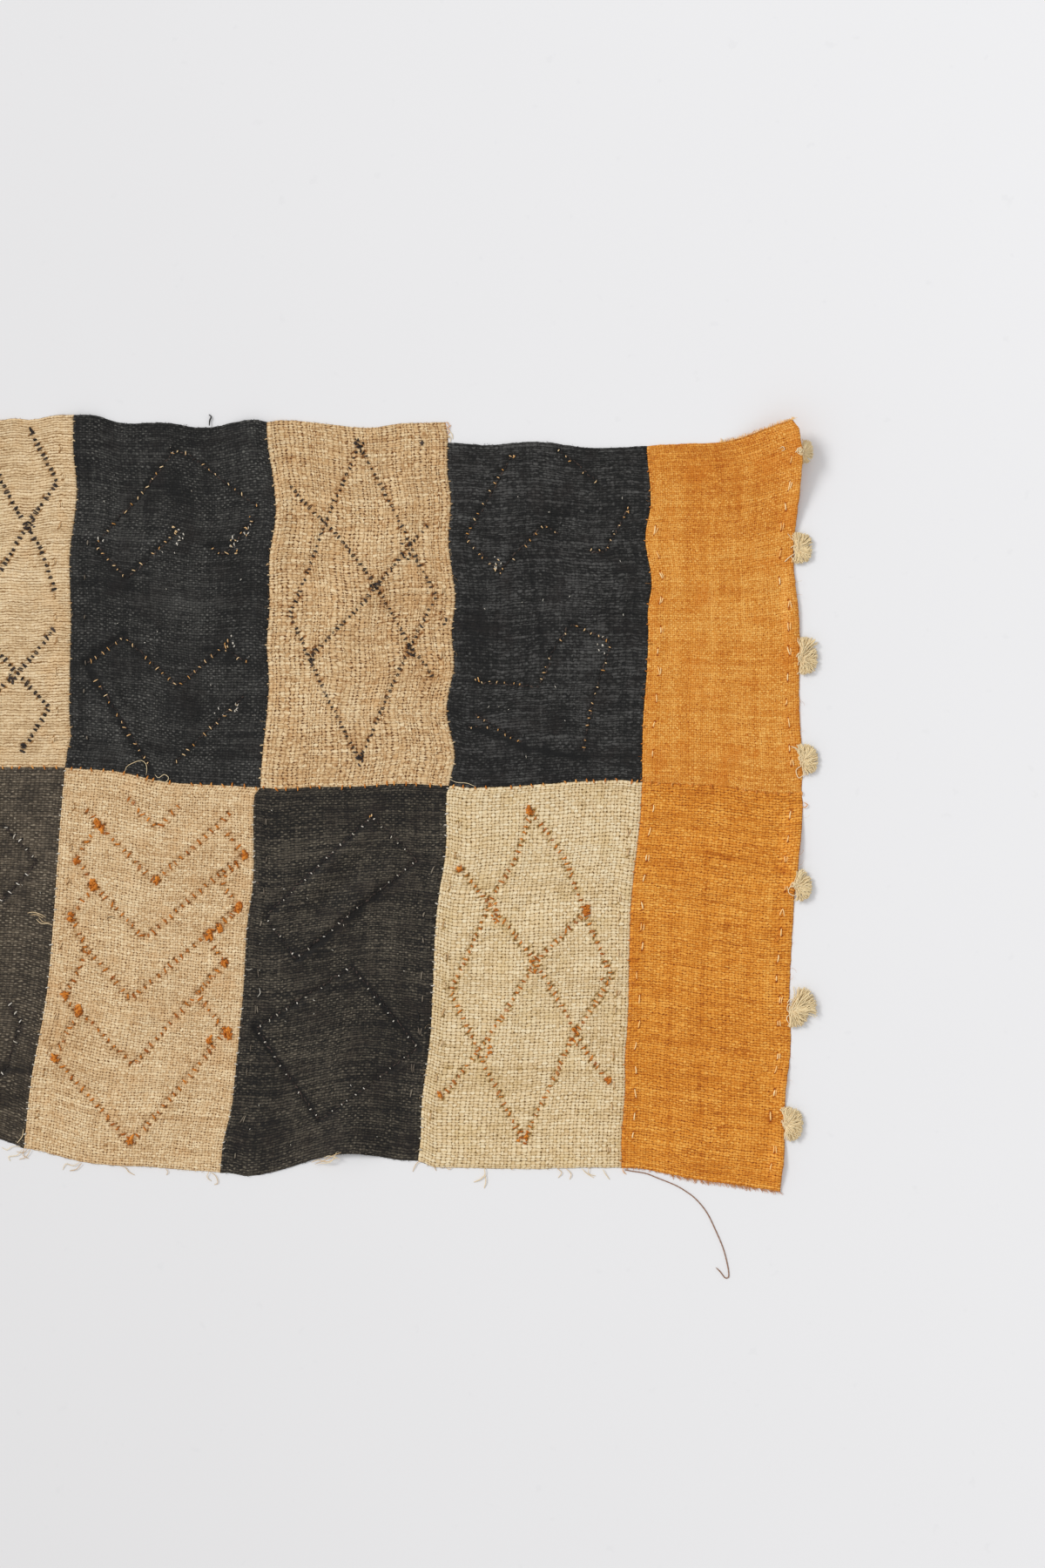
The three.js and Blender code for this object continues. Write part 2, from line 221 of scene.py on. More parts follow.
# Each cloth's colours and how its yarns show. deep, mid and pale are the tones of its yarns,
# gap the painted shade seen between them, tint the colour that it drifts to and glint that of
# the crests where wefts pass over, a painted highlight with some wear in it. row_line and
# column_line say how dark the painted shade in the lines between wefts and between warps is;
# hole how dark the painted shade in the gaps at their crossings is, ladder how much these keep
# to some columns, and open how wide they are; weft_face how much the wefts hide the warps; dot
# how bright the painted highlights on the crests are, and bare how patchy. Of the tone, yarn is
# how much one yarn differs from the next, bead one crossing from the next, streak the fibres in
# a yarn, crown the painted shading that leaves its rounded sides darker than its middle, and
# mottle how uneven the dye is. ragged is how far yarns' outlines stray.
CLOTHS = {
    "upper_1_natural": dict(
        deep=(158, 120, 76), mid=(223, 194, 150), pale=(244, 222, 184), gap=(126, 88, 46),
        tint=(218, 174, 120), glint=(244, 228, 194), row_line=0.9, column_line=0.16,
        hole=0.4, ladder=0.8, open=0.5, weft_face=0.95, dot=0.35, bare=0.5, yarn=0.3,
        bead=0.1, streak=0.4, crown=0.2, mottle=0.04, ragged=1.3, gloss=0.25, fuzz=0.2),
    "upper_2_black": dict(
        deep=(13, 13, 12), mid=(30, 29, 27), pale=(61, 60, 57), gap=(7, 7, 6),
        tint=(34, 28, 25), glint=(114, 112, 106), row_line=0.8, column_line=0.3,
        hole=0.6, ladder=0.4, open=0.5, weft_face=0.75, dot=0.85, bare=0.8, yarn=0.6,
        bead=0.22, streak=0.7, crown=0.4, mottle=0.14, ragged=1.5, gloss=0.3, fuzz=0.0),
    "upper_3_natural": dict(
        deep=(158, 108, 58), mid=(213, 176, 126), pale=(240, 216, 174), gap=(96, 58, 24),
        tint=(212, 162, 104), glint=(246, 228, 190), row_line=0.46, column_line=0.55,
        hole=1.45, ladder=0.9, open=0.8, weft_face=0.35, dot=0.5, bare=0.6, yarn=0.45,
        bead=0.15, streak=0.85, crown=0.28, mottle=0.04, ragged=1.6, gloss=0.25, fuzz=0.2),
    "upper_4_black": dict(
        deep=(13, 13, 12), mid=(31, 30, 28), pale=(70, 69, 67), gap=(8, 8, 7),
        tint=(37, 30, 27), glint=(96, 95, 92), row_line=0.75, column_line=0.3,
        hole=0.7, ladder=0.7, open=0.6, weft_face=0.85, dot=0.7, bare=0.8, yarn=0.62,
        bead=0.26, streak=0.75, crown=0.38, mottle=0.13, ragged=1.6, gloss=0.3, fuzz=0.0),
    "upper_5_orange": dict(
        deep=(182, 96, 12), mid=(222, 145, 50), pale=(243, 182, 92), gap=(142, 66, 4),
        tint=(210, 116, 18), glint=(248, 200, 118), row_line=0.4, column_line=0.42,
        hole=1.0, ladder=0.6, open=0.62, weft_face=0.4, dot=0.75, bare=0.5, yarn=0.5,
        bead=0.13, streak=0.65, crown=0.28, mottle=0.06, ragged=1.7, gloss=0.2, fuzz=0.15),
    "lower_1_black": dict(
        deep=(36, 30, 24), mid=(68, 59, 47), pale=(108, 96, 80), gap=(20, 16, 12),
        tint=(58, 51, 43), glint=(158, 146, 126), row_line=0.78, column_line=0.2,
        hole=0.4, ladder=0.5, open=0.5, weft_face=0.7, dot=0.95, bare=0.6, yarn=0.4,
        bead=0.2, streak=0.4, crown=0.26, mottle=0.08, ragged=1.2, gloss=0.25, fuzz=0.1),
    "lower_2_natural": dict(
        deep=(172, 128, 78), mid=(219, 185, 138), pale=(244, 220, 178), gap=(104, 68, 32),
        tint=(216, 170, 116), glint=(244, 228, 192), row_line=0.42, column_line=0.36,
        hole=1.5, ladder=0.6, open=0.7, weft_face=0.5, dot=0.6, bare=0.6, yarn=0.45,
        bead=0.16, streak=0.7, crown=0.3, mottle=0.045, ragged=1.5, gloss=0.25, fuzz=0.2),
    "lower_3_black": dict(
        deep=(19, 16, 13), mid=(40, 35, 28), pale=(76, 69, 58), gap=(10, 8, 6),
        tint=(46, 36, 30), glint=(124, 115, 98), row_line=0.95, column_line=0.3,
        hole=0.6, ladder=0.4, open=0.5, weft_face=0.85, dot=0.9, bare=0.75, yarn=0.75,
        bead=0.26, streak=0.7, crown=0.5, mottle=0.14, ragged=1.5, gloss=0.3, fuzz=0.0),
    "lower_4_pale": dict(
        deep=(178, 144, 88), mid=(227, 199, 152), pale=(247, 231, 194), gap=(106, 78, 38),
        tint=(218, 188, 130), glint=(246, 234, 206), row_line=0.45, column_line=0.42,
        hole=1.15, ladder=0.4, open=0.66, weft_face=0.4, dot=0.6, bare=0.4, yarn=0.26,
        bead=0.15, streak=0.35, crown=0.34, mottle=0.04, ragged=1.2, gloss=0.25, fuzz=0.2),
    "lower_5_orange": dict(
        deep=(180, 96, 12), mid=(226, 144, 44), pale=(246, 178, 80), gap=(132, 60, 2),
        tint=(204, 118, 20), glint=(248, 196, 108), row_line=0.7, column_line=0.32,
        hole=0.95, ladder=0.5, open=0.6, weft_face=0.6, dot=0.65, bare=0.5, yarn=0.45,
        bead=0.15, streak=0.55, crown=0.28, mottle=0.06, ragged=1.6, gloss=0.2, fuzz=0.15),
}


# How the yarns of every cloth are painted. Places are counted in yarns, and half a yarn is 1 off
# its middle; a pair is where a ramp starts and where it ends. Patches and flecks are counted
# in features a metre.
WEAVE = dict(
    outline=0.9, stray=0.4,                         # how fine and how far outlines wander
    own=0.3, drift=0.8, apart=3.7,                  # tone of a whole yarn, and its drift
    along_warp=0.08, along_weft=0.1,                # how fast the drift goes along a yarn
    fibre=3.8, fibre_length=0.6, patch=34.0, fleck=420.0, flecked=0.3,
    crown=0.4, darkest=-0.7, tinted=(0.5, 0.72), tint=0.4)
# Ramps of the painted shade between yarns and in pricked holes
GAPS = dict(
    row=(0.38, 1.0), column=(0.45, 1.0), hole=(0.75, 1.05), widening=0.5,
    apart=5.3, along_row=0.12, along_column=0.1, slack=(0.35, 1.25), least_loose=0.35,
    under_weft=0.8, even=0.7, prick=(-0.9, -1.8))
# Ramps and weights of the painted highlights on the crests
CREST_HIGHLIGHT = dict(warp=(0.9, 0.2), weft=(0.75, 0.1), patch=(0.62, 0.36), even=0.8, least=0.35,
             dye_and_shade=(-0.5, 0.1))
# Slices of the noise that keep its uses apart
SLICE = dict(outline=9.0, crossing=0.5, row=5.0, column=6.0, hole=0.25)
ROUGHNESS = (0.84, 0.66)
SHEEN = dict(share=0.3, roughness=0.6)


def raffia(name, look, seed):
    """Plain-woven raffia: flat, streaky yarns, over and under, with painted shade between them and painted
    highlights on crests.
    """
    g = Graph(name)

    def drift(x, x_scale, y, y_scale, slice_name=None, output="Fac"):
        """Noise over places that are counted in yarns."""
        layer = seed + SLICE.get(slice_name, 0.0)
        return g.noise(
            g.vector(g.times(x, x_scale), g.times(y, y_scale), layer), output=output)

    def draw(x, y, slice_name=None):
        """A number of its own for each place."""
        return g.white(g.vector(x, y, seed + SLICE.get(slice_name, 0.0)))

    def from_middle(place):
        return g.math("ABSOLUTE", g.centred(g.math("FRACT", place), 1.0))

    # yarn: places in yarns, then the dye with the painted shade of creases, furrows and pricked holes
    across, down, dye_and_shade = g.split(g.attribute("yarn"))
    stray_x, stray_y, _ = g.split(drift(
        across, WEAVE["outline"], down, WEAVE["outline"], "outline", "Color"))
    across = g.add(across, g.centred(stray_x, WEAVE["stray"] * look["ragged"]))
    down = g.add(down, g.centred(stray_y, WEAVE["stray"] * look["ragged"]))
    warp, weft = g.math("FLOOR", across), g.math("FLOOR", down)
    off_warp, off_weft = from_middle(across), from_middle(down)
    weft_over = g.math("MODULO", g.add(warp, weft, 1000.0), 2.0)
    weft_seen = g.mix(look["weft_face"], weft_over, 1.0)
    off_seen = g.mix(weft_seen, off_warp, off_weft)

    # Tone: of the yarn, its fibres, the crossing, the painted shading of its rounded sides, and the dye
    # with its painted shade
    warp_tone = g.add(
        g.centred(draw(warp, 0.5), WEAVE["own"]),
        g.centred(drift(warp, WEAVE["apart"], down, WEAVE["along_warp"]), WEAVE["drift"]))
    weft_tone = g.add(
        g.centred(draw(0.5, weft), WEAVE["own"]),
        g.centred(drift(across, WEAVE["along_weft"], weft, WEAVE["apart"]), WEAVE["drift"]))
    fine, long = WEAVE["fibre"], WEAVE["fibre_length"]
    fibres = g.mix(
        weft_over, g.vector(g.times(across, fine), g.times(down, long), seed),
        g.vector(g.times(across, long), g.times(down, fine), seed), "VECTOR")
    streak = g.noise(fibres, roughness=0.6)
    place = g.place()
    patch = g.noise(place, WEAVE["patch"], detail=3.0, roughness=0.6)
    fleck = g.noise(place, WEAVE["fleck"], detail=1.0)
    crossing = draw(warp, weft, "crossing")
    tone = g.add(
        g.times(g.mix(weft_seen, warp_tone, weft_tone), look["yarn"]),
        g.centred(streak, look["streak"]),
        g.centred(fleck, WEAVE["flecked"]),
        g.centred(crossing, look["bead"]),
        # painted shading: lighter along the middle of a yarn, darker to its rounded sides
        g.times(
            g.math("SUBTRACT", WEAVE["crown"], g.times(off_seen, off_seen)), look["crown"]),
        g.math("MAXIMUM", dye_and_shade, WEAVE["darkest"]),
        0.5)
    body = g.colour(g.ramp(tone, 0.0, 0.5, smooth=False), look["deep"], look["mid"])
    body = g.colour(g.ramp(tone, 0.5, 1.0, smooth=False), body, look["pale"])
    body = g.colour(g.ramp(patch, *WEAVE["tinted"], 0.0, WEAVE["tint"]), body, look["tint"])

    # Painted shade in the gaps: between rows, between columns, at the corners where they meet, and in
    # pricked holes
    row, column = g.math("ROUND", down), g.math("ROUND", across)
    slack = g.ramp(
        drift(across, GAPS["along_row"], row, GAPS["apart"], "row"), 0.3, 0.7, *GAPS["slack"])
    ladder = g.ramp(
        drift(column, GAPS["apart"], down, GAPS["along_column"], "column"), 0.42, 0.6)
    loose = g.ramp(draw(column, row, "hole"), 0.1, 0.7, GAPS["least_loose"], 1.0)
    hole = g.ramp(
        g.times(off_warp, off_weft), *(end - GAPS["widening"] * look["open"] for end in GAPS["hole"]))
    gap_shade = g.add(
        g.times(g.ramp(off_weft, *GAPS["row"]), weft_seen, slack, look["row_line"]),
        g.times(g.ramp(off_warp, *GAPS["column"]),
                g.math("SUBTRACT", 1.0, g.times(weft_over, GAPS["under_weft"])),
                look["column_line"]),
        g.times(hole, loose, g.mix(look["ladder"], GAPS["even"], ladder), look["hole"]))
    gap_shade = g.math("ADD", gap_shade, g.ramp(dye_and_shade, *GAPS["prick"]), clamp=True)
    body = g.colour(gap_shade, body, look["gap"])

    # Painted highlights, with some wear, on the crests where a weft passes over a warp
    crest_highlight = g.times(
        weft_over, g.ramp(off_warp, *CREST_HIGHLIGHT["warp"]), g.ramp(off_weft, *CREST_HIGHLIGHT["weft"]),
        g.mix(look["bare"], CREST_HIGHLIGHT["even"], g.ramp(patch, *CREST_HIGHLIGHT["patch"])),
        g.ramp(crossing, 0.0, 0.7, CREST_HIGHLIGHT["least"], 1.0), g.ramp(dye_and_shade, *CREST_HIGHLIGHT["dye_and_shade"]))
    body = g.colour(g.times(crest_highlight, look["dot"]), body, look["glint"])
    g.shade(Base_Color=body, Roughness=g.ramp(streak, 0.2, 0.8, *ROUGHNESS),
            Specular_IOR_Level=look["gloss"], Sheen_Weight=look["fuzz"] * SHEEN["share"],
            Sheen_Roughness=SHEEN["roughness"])
    g.bump(g.add(streak, g.times(fleck, WEAVE["flecked"])), 0.5, 0.4)
    return g.material


STRAND_STREAKS = 900.0       # a metre
STRAND_TONE = dict(own=0.75, streak=0.4, tip=0.7)


def fibre(name, deep, pale, gloss=0.3, tip=None):
    """Loose raffia or thread: each strand has its own tone, and fine streaks run along it."""
    g = Graph(name)
    own, along_it, _ = g.split(g.attribute("strand"))
    fine = g.noise(g.place(), STRAND_STREAKS)
    tone = g.math("ADD", g.times(own, STRAND_TONE["own"]),
                  g.centred(fine, STRAND_TONE["streak"]), clamp=True)
    body = g.colour(tone, deep, pale)
    if tip:
        body = g.colour(g.ramp(along_it, 0.0, 0.6, 0.0, STRAND_TONE["tip"]), body, tip)
    g.shade(Base_Color=body, Roughness=g.mix(fine, 0.85, 0.6), Specular_IOR_Level=gloss)
    g.bump(fine, 0.4, 0.2)
    return g.material


# The sheet's outline and swells, as in the CAD: corners in sheet millimetres, left to right
CORNERS = {
    "top": [(-105, 334.5), (68, 339), (245, 332.5), (409, 332.5), (594.5, 310.5), (726.5, 332)],
    "middle": [(-114.5, 15), (60, 15), (239, -3.5), (413, -1.5), (590, 1.5), (737, -8)],
    "bottom": [(-156, -320), (22, -335), (202.5, -357.5), (384, -346.5), (571, -353),
               (717, -374.5)],
}

# How each edge wanders off the straight line: (share of the way, millimetres out)
SEAMS = {
    "upper": [
        [(0.3, -2), (0.7, 1.5)],
        [(0.08, 0.5), (0.22, 4.5), (0.41, -0.5), (0.6, 2), (0.84, 2.5), (0.91, 4.4), (0.97, 1)],
        [(0.25, 10), (0.39, 4.5), (0.52, 5.4), (0.61, 3.7), (0.71, 6.3)],
        [(0.04, 2), (0.12, 1.5), (0.22, 4.4), (0.33, 1.8), (0.49, 7.4), (0.58, 3.8),
         (0.66, 5.6), (0.79, -1.8), (0.92, 5.2)],
        [(0.17, 4.1), (0.27, -0.4), (0.41, 5.9), (0.5, 2.8), (0.57, 3.7), (0.88, -0.4)],
        [(0.03, 6), (0.09, 8.5), (0.38, -0.9), (0.55, 2.6), (0.79, 0.2), (0.93, 2)],
    ],
    "lower": [
        [(0.3, 2), (0.6, 4)],
        [(0.57, 5.6), (0.87, -0.5)],
        [(0.02, -4.2), (0.26, 2.7), (0.35, 1.3), (0.54, 4), (0.68, 4.4), (0.81, 4.6),
         (0.94, -0.5)],
        [(0.02, -2), (0.17, 1.5), (0.34, -2), (0.67, 1.6), (0.84, -1), (0.95, 0.6)],
        [(0.06, 0.2), (0.33, -4.3), (0.64, -1.5), (0.7, -2.4), (0.79, -0.5), (0.92, -1.5)],
        [(0.04, 1.8), (0.31, -1.7), (0.48, -1.5), (0.65, 2.5), (0.75, 0), (0.91, 1.9)],
    ],
}
EDGES = {
    "top": [
        [(0.3, 1.5), (0.61, -2.6), (0.68, -1.3), (0.76, -3), (0.92, 0.5)],
        [(0.09, 0.6), (0.26, -5.7), (0.46, -3.7), (0.66, -7), (0.95, 1.9)],
        [(0.09, 2), (0.57, -4.8), (0.8, -0.6)],
        [(0.19, -1.5), (0.45, 2.3), (0.74, -2.5)],
        [(0.56, -7.3)],
    ],
    "middle": [
        [(0.35, 0.6)],
        [(0.24, 1.5), (0.53, -3.6)],
        [(0.11, -1.4), (0.31, 0.2), (0.5, 0), (0.74, 2.2)],
        [(0.12, -2.4), (0.88, 2.6)],
        [(0.42, 0.9), (0.83, -2.7)],
    ],
    "bottom": [
        [(0.35, 2.5), (0.86, 7.6), (0.94, 4)],
        [(0.35, -6.2), (0.76, -1.8)],
        [(0.15, -4.4), (0.64, 10.8)],
        [(0.08, -5.3), (0.4, -4.7)],
        [(0.1, 2), (0.5, -0.8), (0.7, -0.3)],
    ],
}
# The level of each row's head and foot, and the column whose top starts lower down its seam
HEAD = {"upper": "top", "lower": "middle"}
FOOT = {"upper": "middle", "lower": "bottom"}
STEP_COLUMN = 3
STEP_SHARE = 1 / 18

# Swells: x, y, half length, half width (mm), turn in degrees, height
SWELLS = [
    (74, 322, 46, 34, 80, 4), (232, 318, 44, 32, 95, 3.5), (108, 56, 62, 24, 122, 4.5),
    (166, 70, 60, 26, 126, 3.5), (160, 210, 70, 52, 10, 3), (196, 168, 60, 30, 30, 2.5),
    (255, 232, 54, 18, 85, 3), (330, 176, 90, 34, 62, 2.5), (372, 266, 52, 26, 80, 2.5),
    (484, 246, 60, 34, 50, 3), (540, 150, 66, 34, 70, 3), (470, 66, 62, 20, -12, 4),
    (484, 26, 56, 18, -10, 3.5), (300, -80, 66, 18, 44, 3.5), (326, -106, 64, 18, 42, 3.5),
    (318, -262, 70, 26, 128, 3.5), (322, -330, 44, 40, 90, 6), (120, -210, 80, 36, 60, 2),
    (480, -180, 92, 36, 66, 2), (664, -64, 58, 18, -14, 2.5), (728, 160, 56, 12, 92, 3),
    (20, 180, 60, 30, 75, 2), (-10, -276, 64, 24, 8, 2.5), (733, -66, 52, 20, 92, 4.5),
    (727, -280, 34, 16, 92, 3), (720, -352, 34, 18, 92, 4),
]

# The upper outer corner stands off the floor beyond a fold, from its start to its end
FLAP = dict(start=(664, 313.6), end=(736.8, 204), reach=62, high=27, bend=1.5)

# Cloth thickness, and the hem turned under along every edge
THICKNESS = 1.3
HEM = dict(width=15.0, step=0.35, fall=3.0, roll=1.7)


def smooth(t):
    t = np.clip(t, 0, 1)
    return t * t * (3 - 2 * t)


def wander(rows, share):
    at = np.array([0.0, *(row[0] for row in rows), 1.0])
    out = np.array([0.0, *(row[1] for row in rows), 0.0])
    k = np.clip(np.searchsorted(at, share), 1, len(at) - 1)
    return out[k - 1] + (out[k] - out[k - 1]) * smooth((share - at[k - 1]) / (at[k] - at[k - 1]))


def side(start, end, rows, share, axis):
    """Points along an edge: axis 0 for an upright seam that wanders in x, 1 for a level one."""
    share = np.asarray(share, float)
    points = np.outer(1 - share, start) + np.outer(share, end)
    points[:, axis] += wander(rows, share)
    return points


def seam(row, index, share):
    """The upright seam at a panel's left, or the outer side, from its head down."""
    head, foot = CORNERS[HEAD[row]][index], CORNERS[FOOT[row]][index]
    return side(head, foot, SEAMS[row][index], share, 0)


def level_edge(level, column, share):
    """A column's edge along the top, the middle or the bottom, from the left."""
    start, end = CORNERS[level][column:column + 2]
    if level == "top" and column == STEP_COLUMN:
        start = seam("upper", column, [STEP_SHARE])[0]
    return side(start, end, EDGES[level][column], share, 1)


LATTICE = 64


def wobble(x, y, size, seed):
    """Smooth noise from -1 to 1, with features about that many units apart."""
    lattice = np.random.default_rng(seed).uniform(-1, 1, (LATTICE, LATTICE))
    i, j = np.floor(x / size).astype(int), np.floor(y / size).astype(int)
    u, v = smooth(x / size - i), smooth(y / size - j)

    def knot(right, up):
        return lattice[(i + right) % LATTICE, (j + up) % LATTICE]

    near = knot(0, 0) * (1 - u) + knot(1, 0) * u
    far = knot(0, 1) * (1 - u) + knot(1, 1) * u
    return near * (1 - v) + far * v


def lift(x, y):
    """How far the underside stands off the floor, in millimetres."""
    height = np.zeros_like(x)
    for cx, cy, length, width, turn, high in SWELLS:
        c, s = math.cos(math.radians(turn)), math.sin(math.radians(turn))
        along = ((x - cx) * c + (y - cy) * s) / length
        across = ((y - cy) * c - (x - cx) * s) / width
        fade = np.maximum(0, 1 - along ** 2 - across ** 2)
        height = np.maximum(height, high * fade ** 2)
    (x0, y0), (x1, y1) = FLAP["start"], FLAP["end"]
    past = ((y - y0) * (x1 - x0) - (x - x0) * (y1 - y0)) / math.hypot(x1 - x0, y1 - y0)
    return height + FLAP["high"] * np.maximum(0, past / FLAP["reach"]) ** FLAP["bend"]


# Creases, in photograph pixels: from and to, half width, and depth in millimetres (negative
# for a furrow)
CREASES = [
    (95, 756, 174, 886, 4, -2.4), (106, 750, 186, 878, 6, 1.9), (98, 762, 145, 728, 4.5, -1.6),
    (92, 752, 140, 718, 6, 1.2), (145, 731, 207, 790, 5, -0.9), (207, 790, 262, 742, 5, -0.8),
    (85, 652, 170, 660, 7, -1.0), (250, 650, 300, 668, 8, 0.9), (85, 705, 130, 700, 8, 0.8),
    (240, 505, 246, 620, 6, -0.6), (200, 640, 300, 616, 5, -0.8), (96, 800, 136, 838, 5, 0.8),
    (220, 850, 296, 838, 6, -0.7), (110, 545, 160, 570, 6, 0.6), (180, 690, 290, 700, 7, 0.6),
    (542, 834, 602, 859, 3.8, -2.4), (596, 857, 664, 870, 3.8, -2.2),
    (542, 824, 664, 856, 6, 1.6), (575, 585, 640, 630, 7, 1.0), (535, 632, 575, 660, 5, -1.2),
    (560, 690, 575, 760, 6, 0.8), (610, 660, 625, 740, 5, -0.8), (640, 560, 700, 600, 6, 0.7),
    (690, 640, 716, 720, 5, -0.9), (580, 780, 640, 800, 6, 0.7), (700, 800, 716, 860, 5, -0.8),
    (640, 515, 700, 560, 5, -0.9), (700, 735, 690, 790, 7, 0.7),
    (305, 1045, 425, 938, 5, -1.1), (300, 1034, 415, 930, 8, 0.8),
    (342, 1101, 480, 988, 4, -1.9), (350, 1090, 458, 1000, 6, 1.5),
    (292, 1179, 356, 1270, 3.6, -2.2), (302, 1176, 364, 1262, 6, 1.3),
    (403, 1109, 482, 1204, 3.6, -2.2), (412, 1104, 486, 1192, 6, 1.3),
    (404, 1112, 300, 1176, 5, -0.9), (370, 1286, 478, 1206, 5, -0.8),
    (826, 983, 902, 996, 4, -0.9), (826, 990, 902, 1004, 8, 0.5),
    (838, 506, 912, 492, 4, -1.4), (884, 512, 906, 596, 6, -0.9), (750, 640, 760, 860, 8, 0.4),
    (20, 1250, 62, 1262, 6, -0.9), (0, 1170, 58, 1180, 9, 0.6),
    (110, 1250, 250, 1270, 12, 0.5), (330, 840, 500, 850, 14, 0.5), (60, 600, 70, 840, 10, 0.5),
]

# Stains and faded places, and, where the lines follow CREASES, painted shade in the furrows and
# painted light on the ridges; in photograph pixels: from and to, half width, and how much lighter
# or, if negative, darker
STAINS_AND_CREASE_SHADE = {
    "upper_2_black": [
        (188, 560, 194, 605, 32, -0.3), (206, 640, 206, 720, 42, 0.2), (95, 668, 145, 670, 12, -0.3),
        (100, 758, 143, 728, 4, -0.6), (96, 757, 174, 885, 3.4, -0.8), (200, 820, 202, 832, 22, -0.25),
        (123, 840, 125, 868, 24, 0.22), (90, 520, 300, 524, 16, 0.1), (95, 600, 290, 612, 16, 0.12),
        (100, 870, 290, 880, 10, 0.1), (200, 780, 290, 790, 14, 0.12), (90, 503, 290, 500, 6, 0.16),
        (92, 512, 300, 508, 4, -0.25), (200, 630, 300, 622, 4, -0.3), (90, 655, 200, 660, 3, -0.3),
        (240, 745, 300, 770, 10, -0.3), (150, 690, 290, 694, 4, 0.16), (220, 854, 296, 842, 3, -0.3),
    ],
    "upper_3_natural": [
        (487, 782, 487, 790, 20, -0.14), (333, 845, 335, 890, 16, -0.12),
        (340, 500, 370, 560, 30, -0.06), (430, 560, 470, 590, 22, 0.08),
    ],
    "upper_4_black": [
        (538, 833, 602, 858, 3, -0.9), (600, 858, 664, 869, 3, -0.9), (540, 824, 655, 850, 7, 0.35),
        (573, 638, 573, 645, 18, 0.3), (530, 720, 620, 724, 3, -0.25), (610, 660, 624, 740, 3, -0.3),
        (687, 735, 688, 745, 18, 0.3), (573, 556, 574, 564, 14, 0.2), (697, 608, 698, 616, 14, 0.25),
        (672, 785, 672, 845, 12, 0.2), (600, 590, 652, 590, 7, -0.25), (540, 700, 560, 800, 18, -0.15),
    ],
    "upper_5_orange": [
        (836, 540, 880, 580, 40, -0.13), (792, 520, 790, 890, 4, -0.13), (806, 520, 803, 700, 3, -0.1),
        (830, 660, 832, 900, 4, -0.13), (760, 524, 905, 520, 26, -0.07), (848, 560, 850, 820, 3, -0.09),
        (776, 600, 774, 860, 5, 0.08), (872, 640, 876, 900, 5, 0.07), (818, 610, 816, 860, 5, 0.07),
        (895, 620, 896, 880, 7, 0.12), (745, 560, 742, 890, 6, 0.06), (750, 880, 910, 892, 10, -0.08),
    ],
    "lower_1_black": [
        (5, 1240, 40, 1240, 50, -0.25), (0, 1227, 52, 1230, 5, -0.35), (20, 915, 30, 1000, 45, 0.16),
    ],
    "lower_2_natural": [
        (77, 1210, 80, 1250, 18, -0.12), (110, 1285, 230, 1300, 12, -0.06), (100, 905, 280, 915, 12, 0.05),
    ],
    "lower_3_black": [
        (291, 1178, 360, 1274, 3, -0.85), (403, 1109, 482, 1204, 3, -0.85),
        (333, 1093, 367, 1093, 12, -0.3), (344, 1102, 480, 990, 3, -0.5),
        (306, 1046, 425, 940, 3, -0.4), (380, 1170, 388, 1240, 26, 0.12),
        (320, 935, 320, 945, 16, -0.25), (310, 1250, 310, 1256, 16, -0.3),
        (317, 1290, 318, 1296, 14, -0.25), (347, 1080, 400, 1047, 8, 0.2),
        (333, 975, 333, 985, 16, 0.2), (430, 1080, 440, 1095, 14, 0.14),
        (300, 1220, 300, 1300, 22, -0.15),
    ],
    "lower_4_pale": [
        (528, 1016, 700, 1022, 6, -0.12), (512, 1226, 700, 1228, 2.5, -0.3),
        (640, 1190, 705, 1196, 12, -0.08), (640, 960, 700, 980, 24, 0.08),
        (560, 1250, 660, 1262, 18, -0.06),
    ],
    "lower_5_orange": [
        (813, 980, 907, 1000, 4, -0.3), (883, 1286, 884, 1290, 8, -0.3), (887, 1072, 887, 1076, 7, -0.3),
        (772, 960, 766, 1340, 3, -0.14), (812, 920, 802, 1350, 3, -0.12), (838, 930, 830, 1340, 3, -0.1),
        (860, 1010, 852, 1350, 3, -0.09), (790, 960, 782, 1340, 6, 0.07), (884, 1010, 878, 1260, 5, 0.12),
        (740, 905, 910, 916, 8, -0.1), (735, 960, 716, 1330, 7, -0.12), (770, 1240, 880, 1256, 10, -0.08),
    ],
}

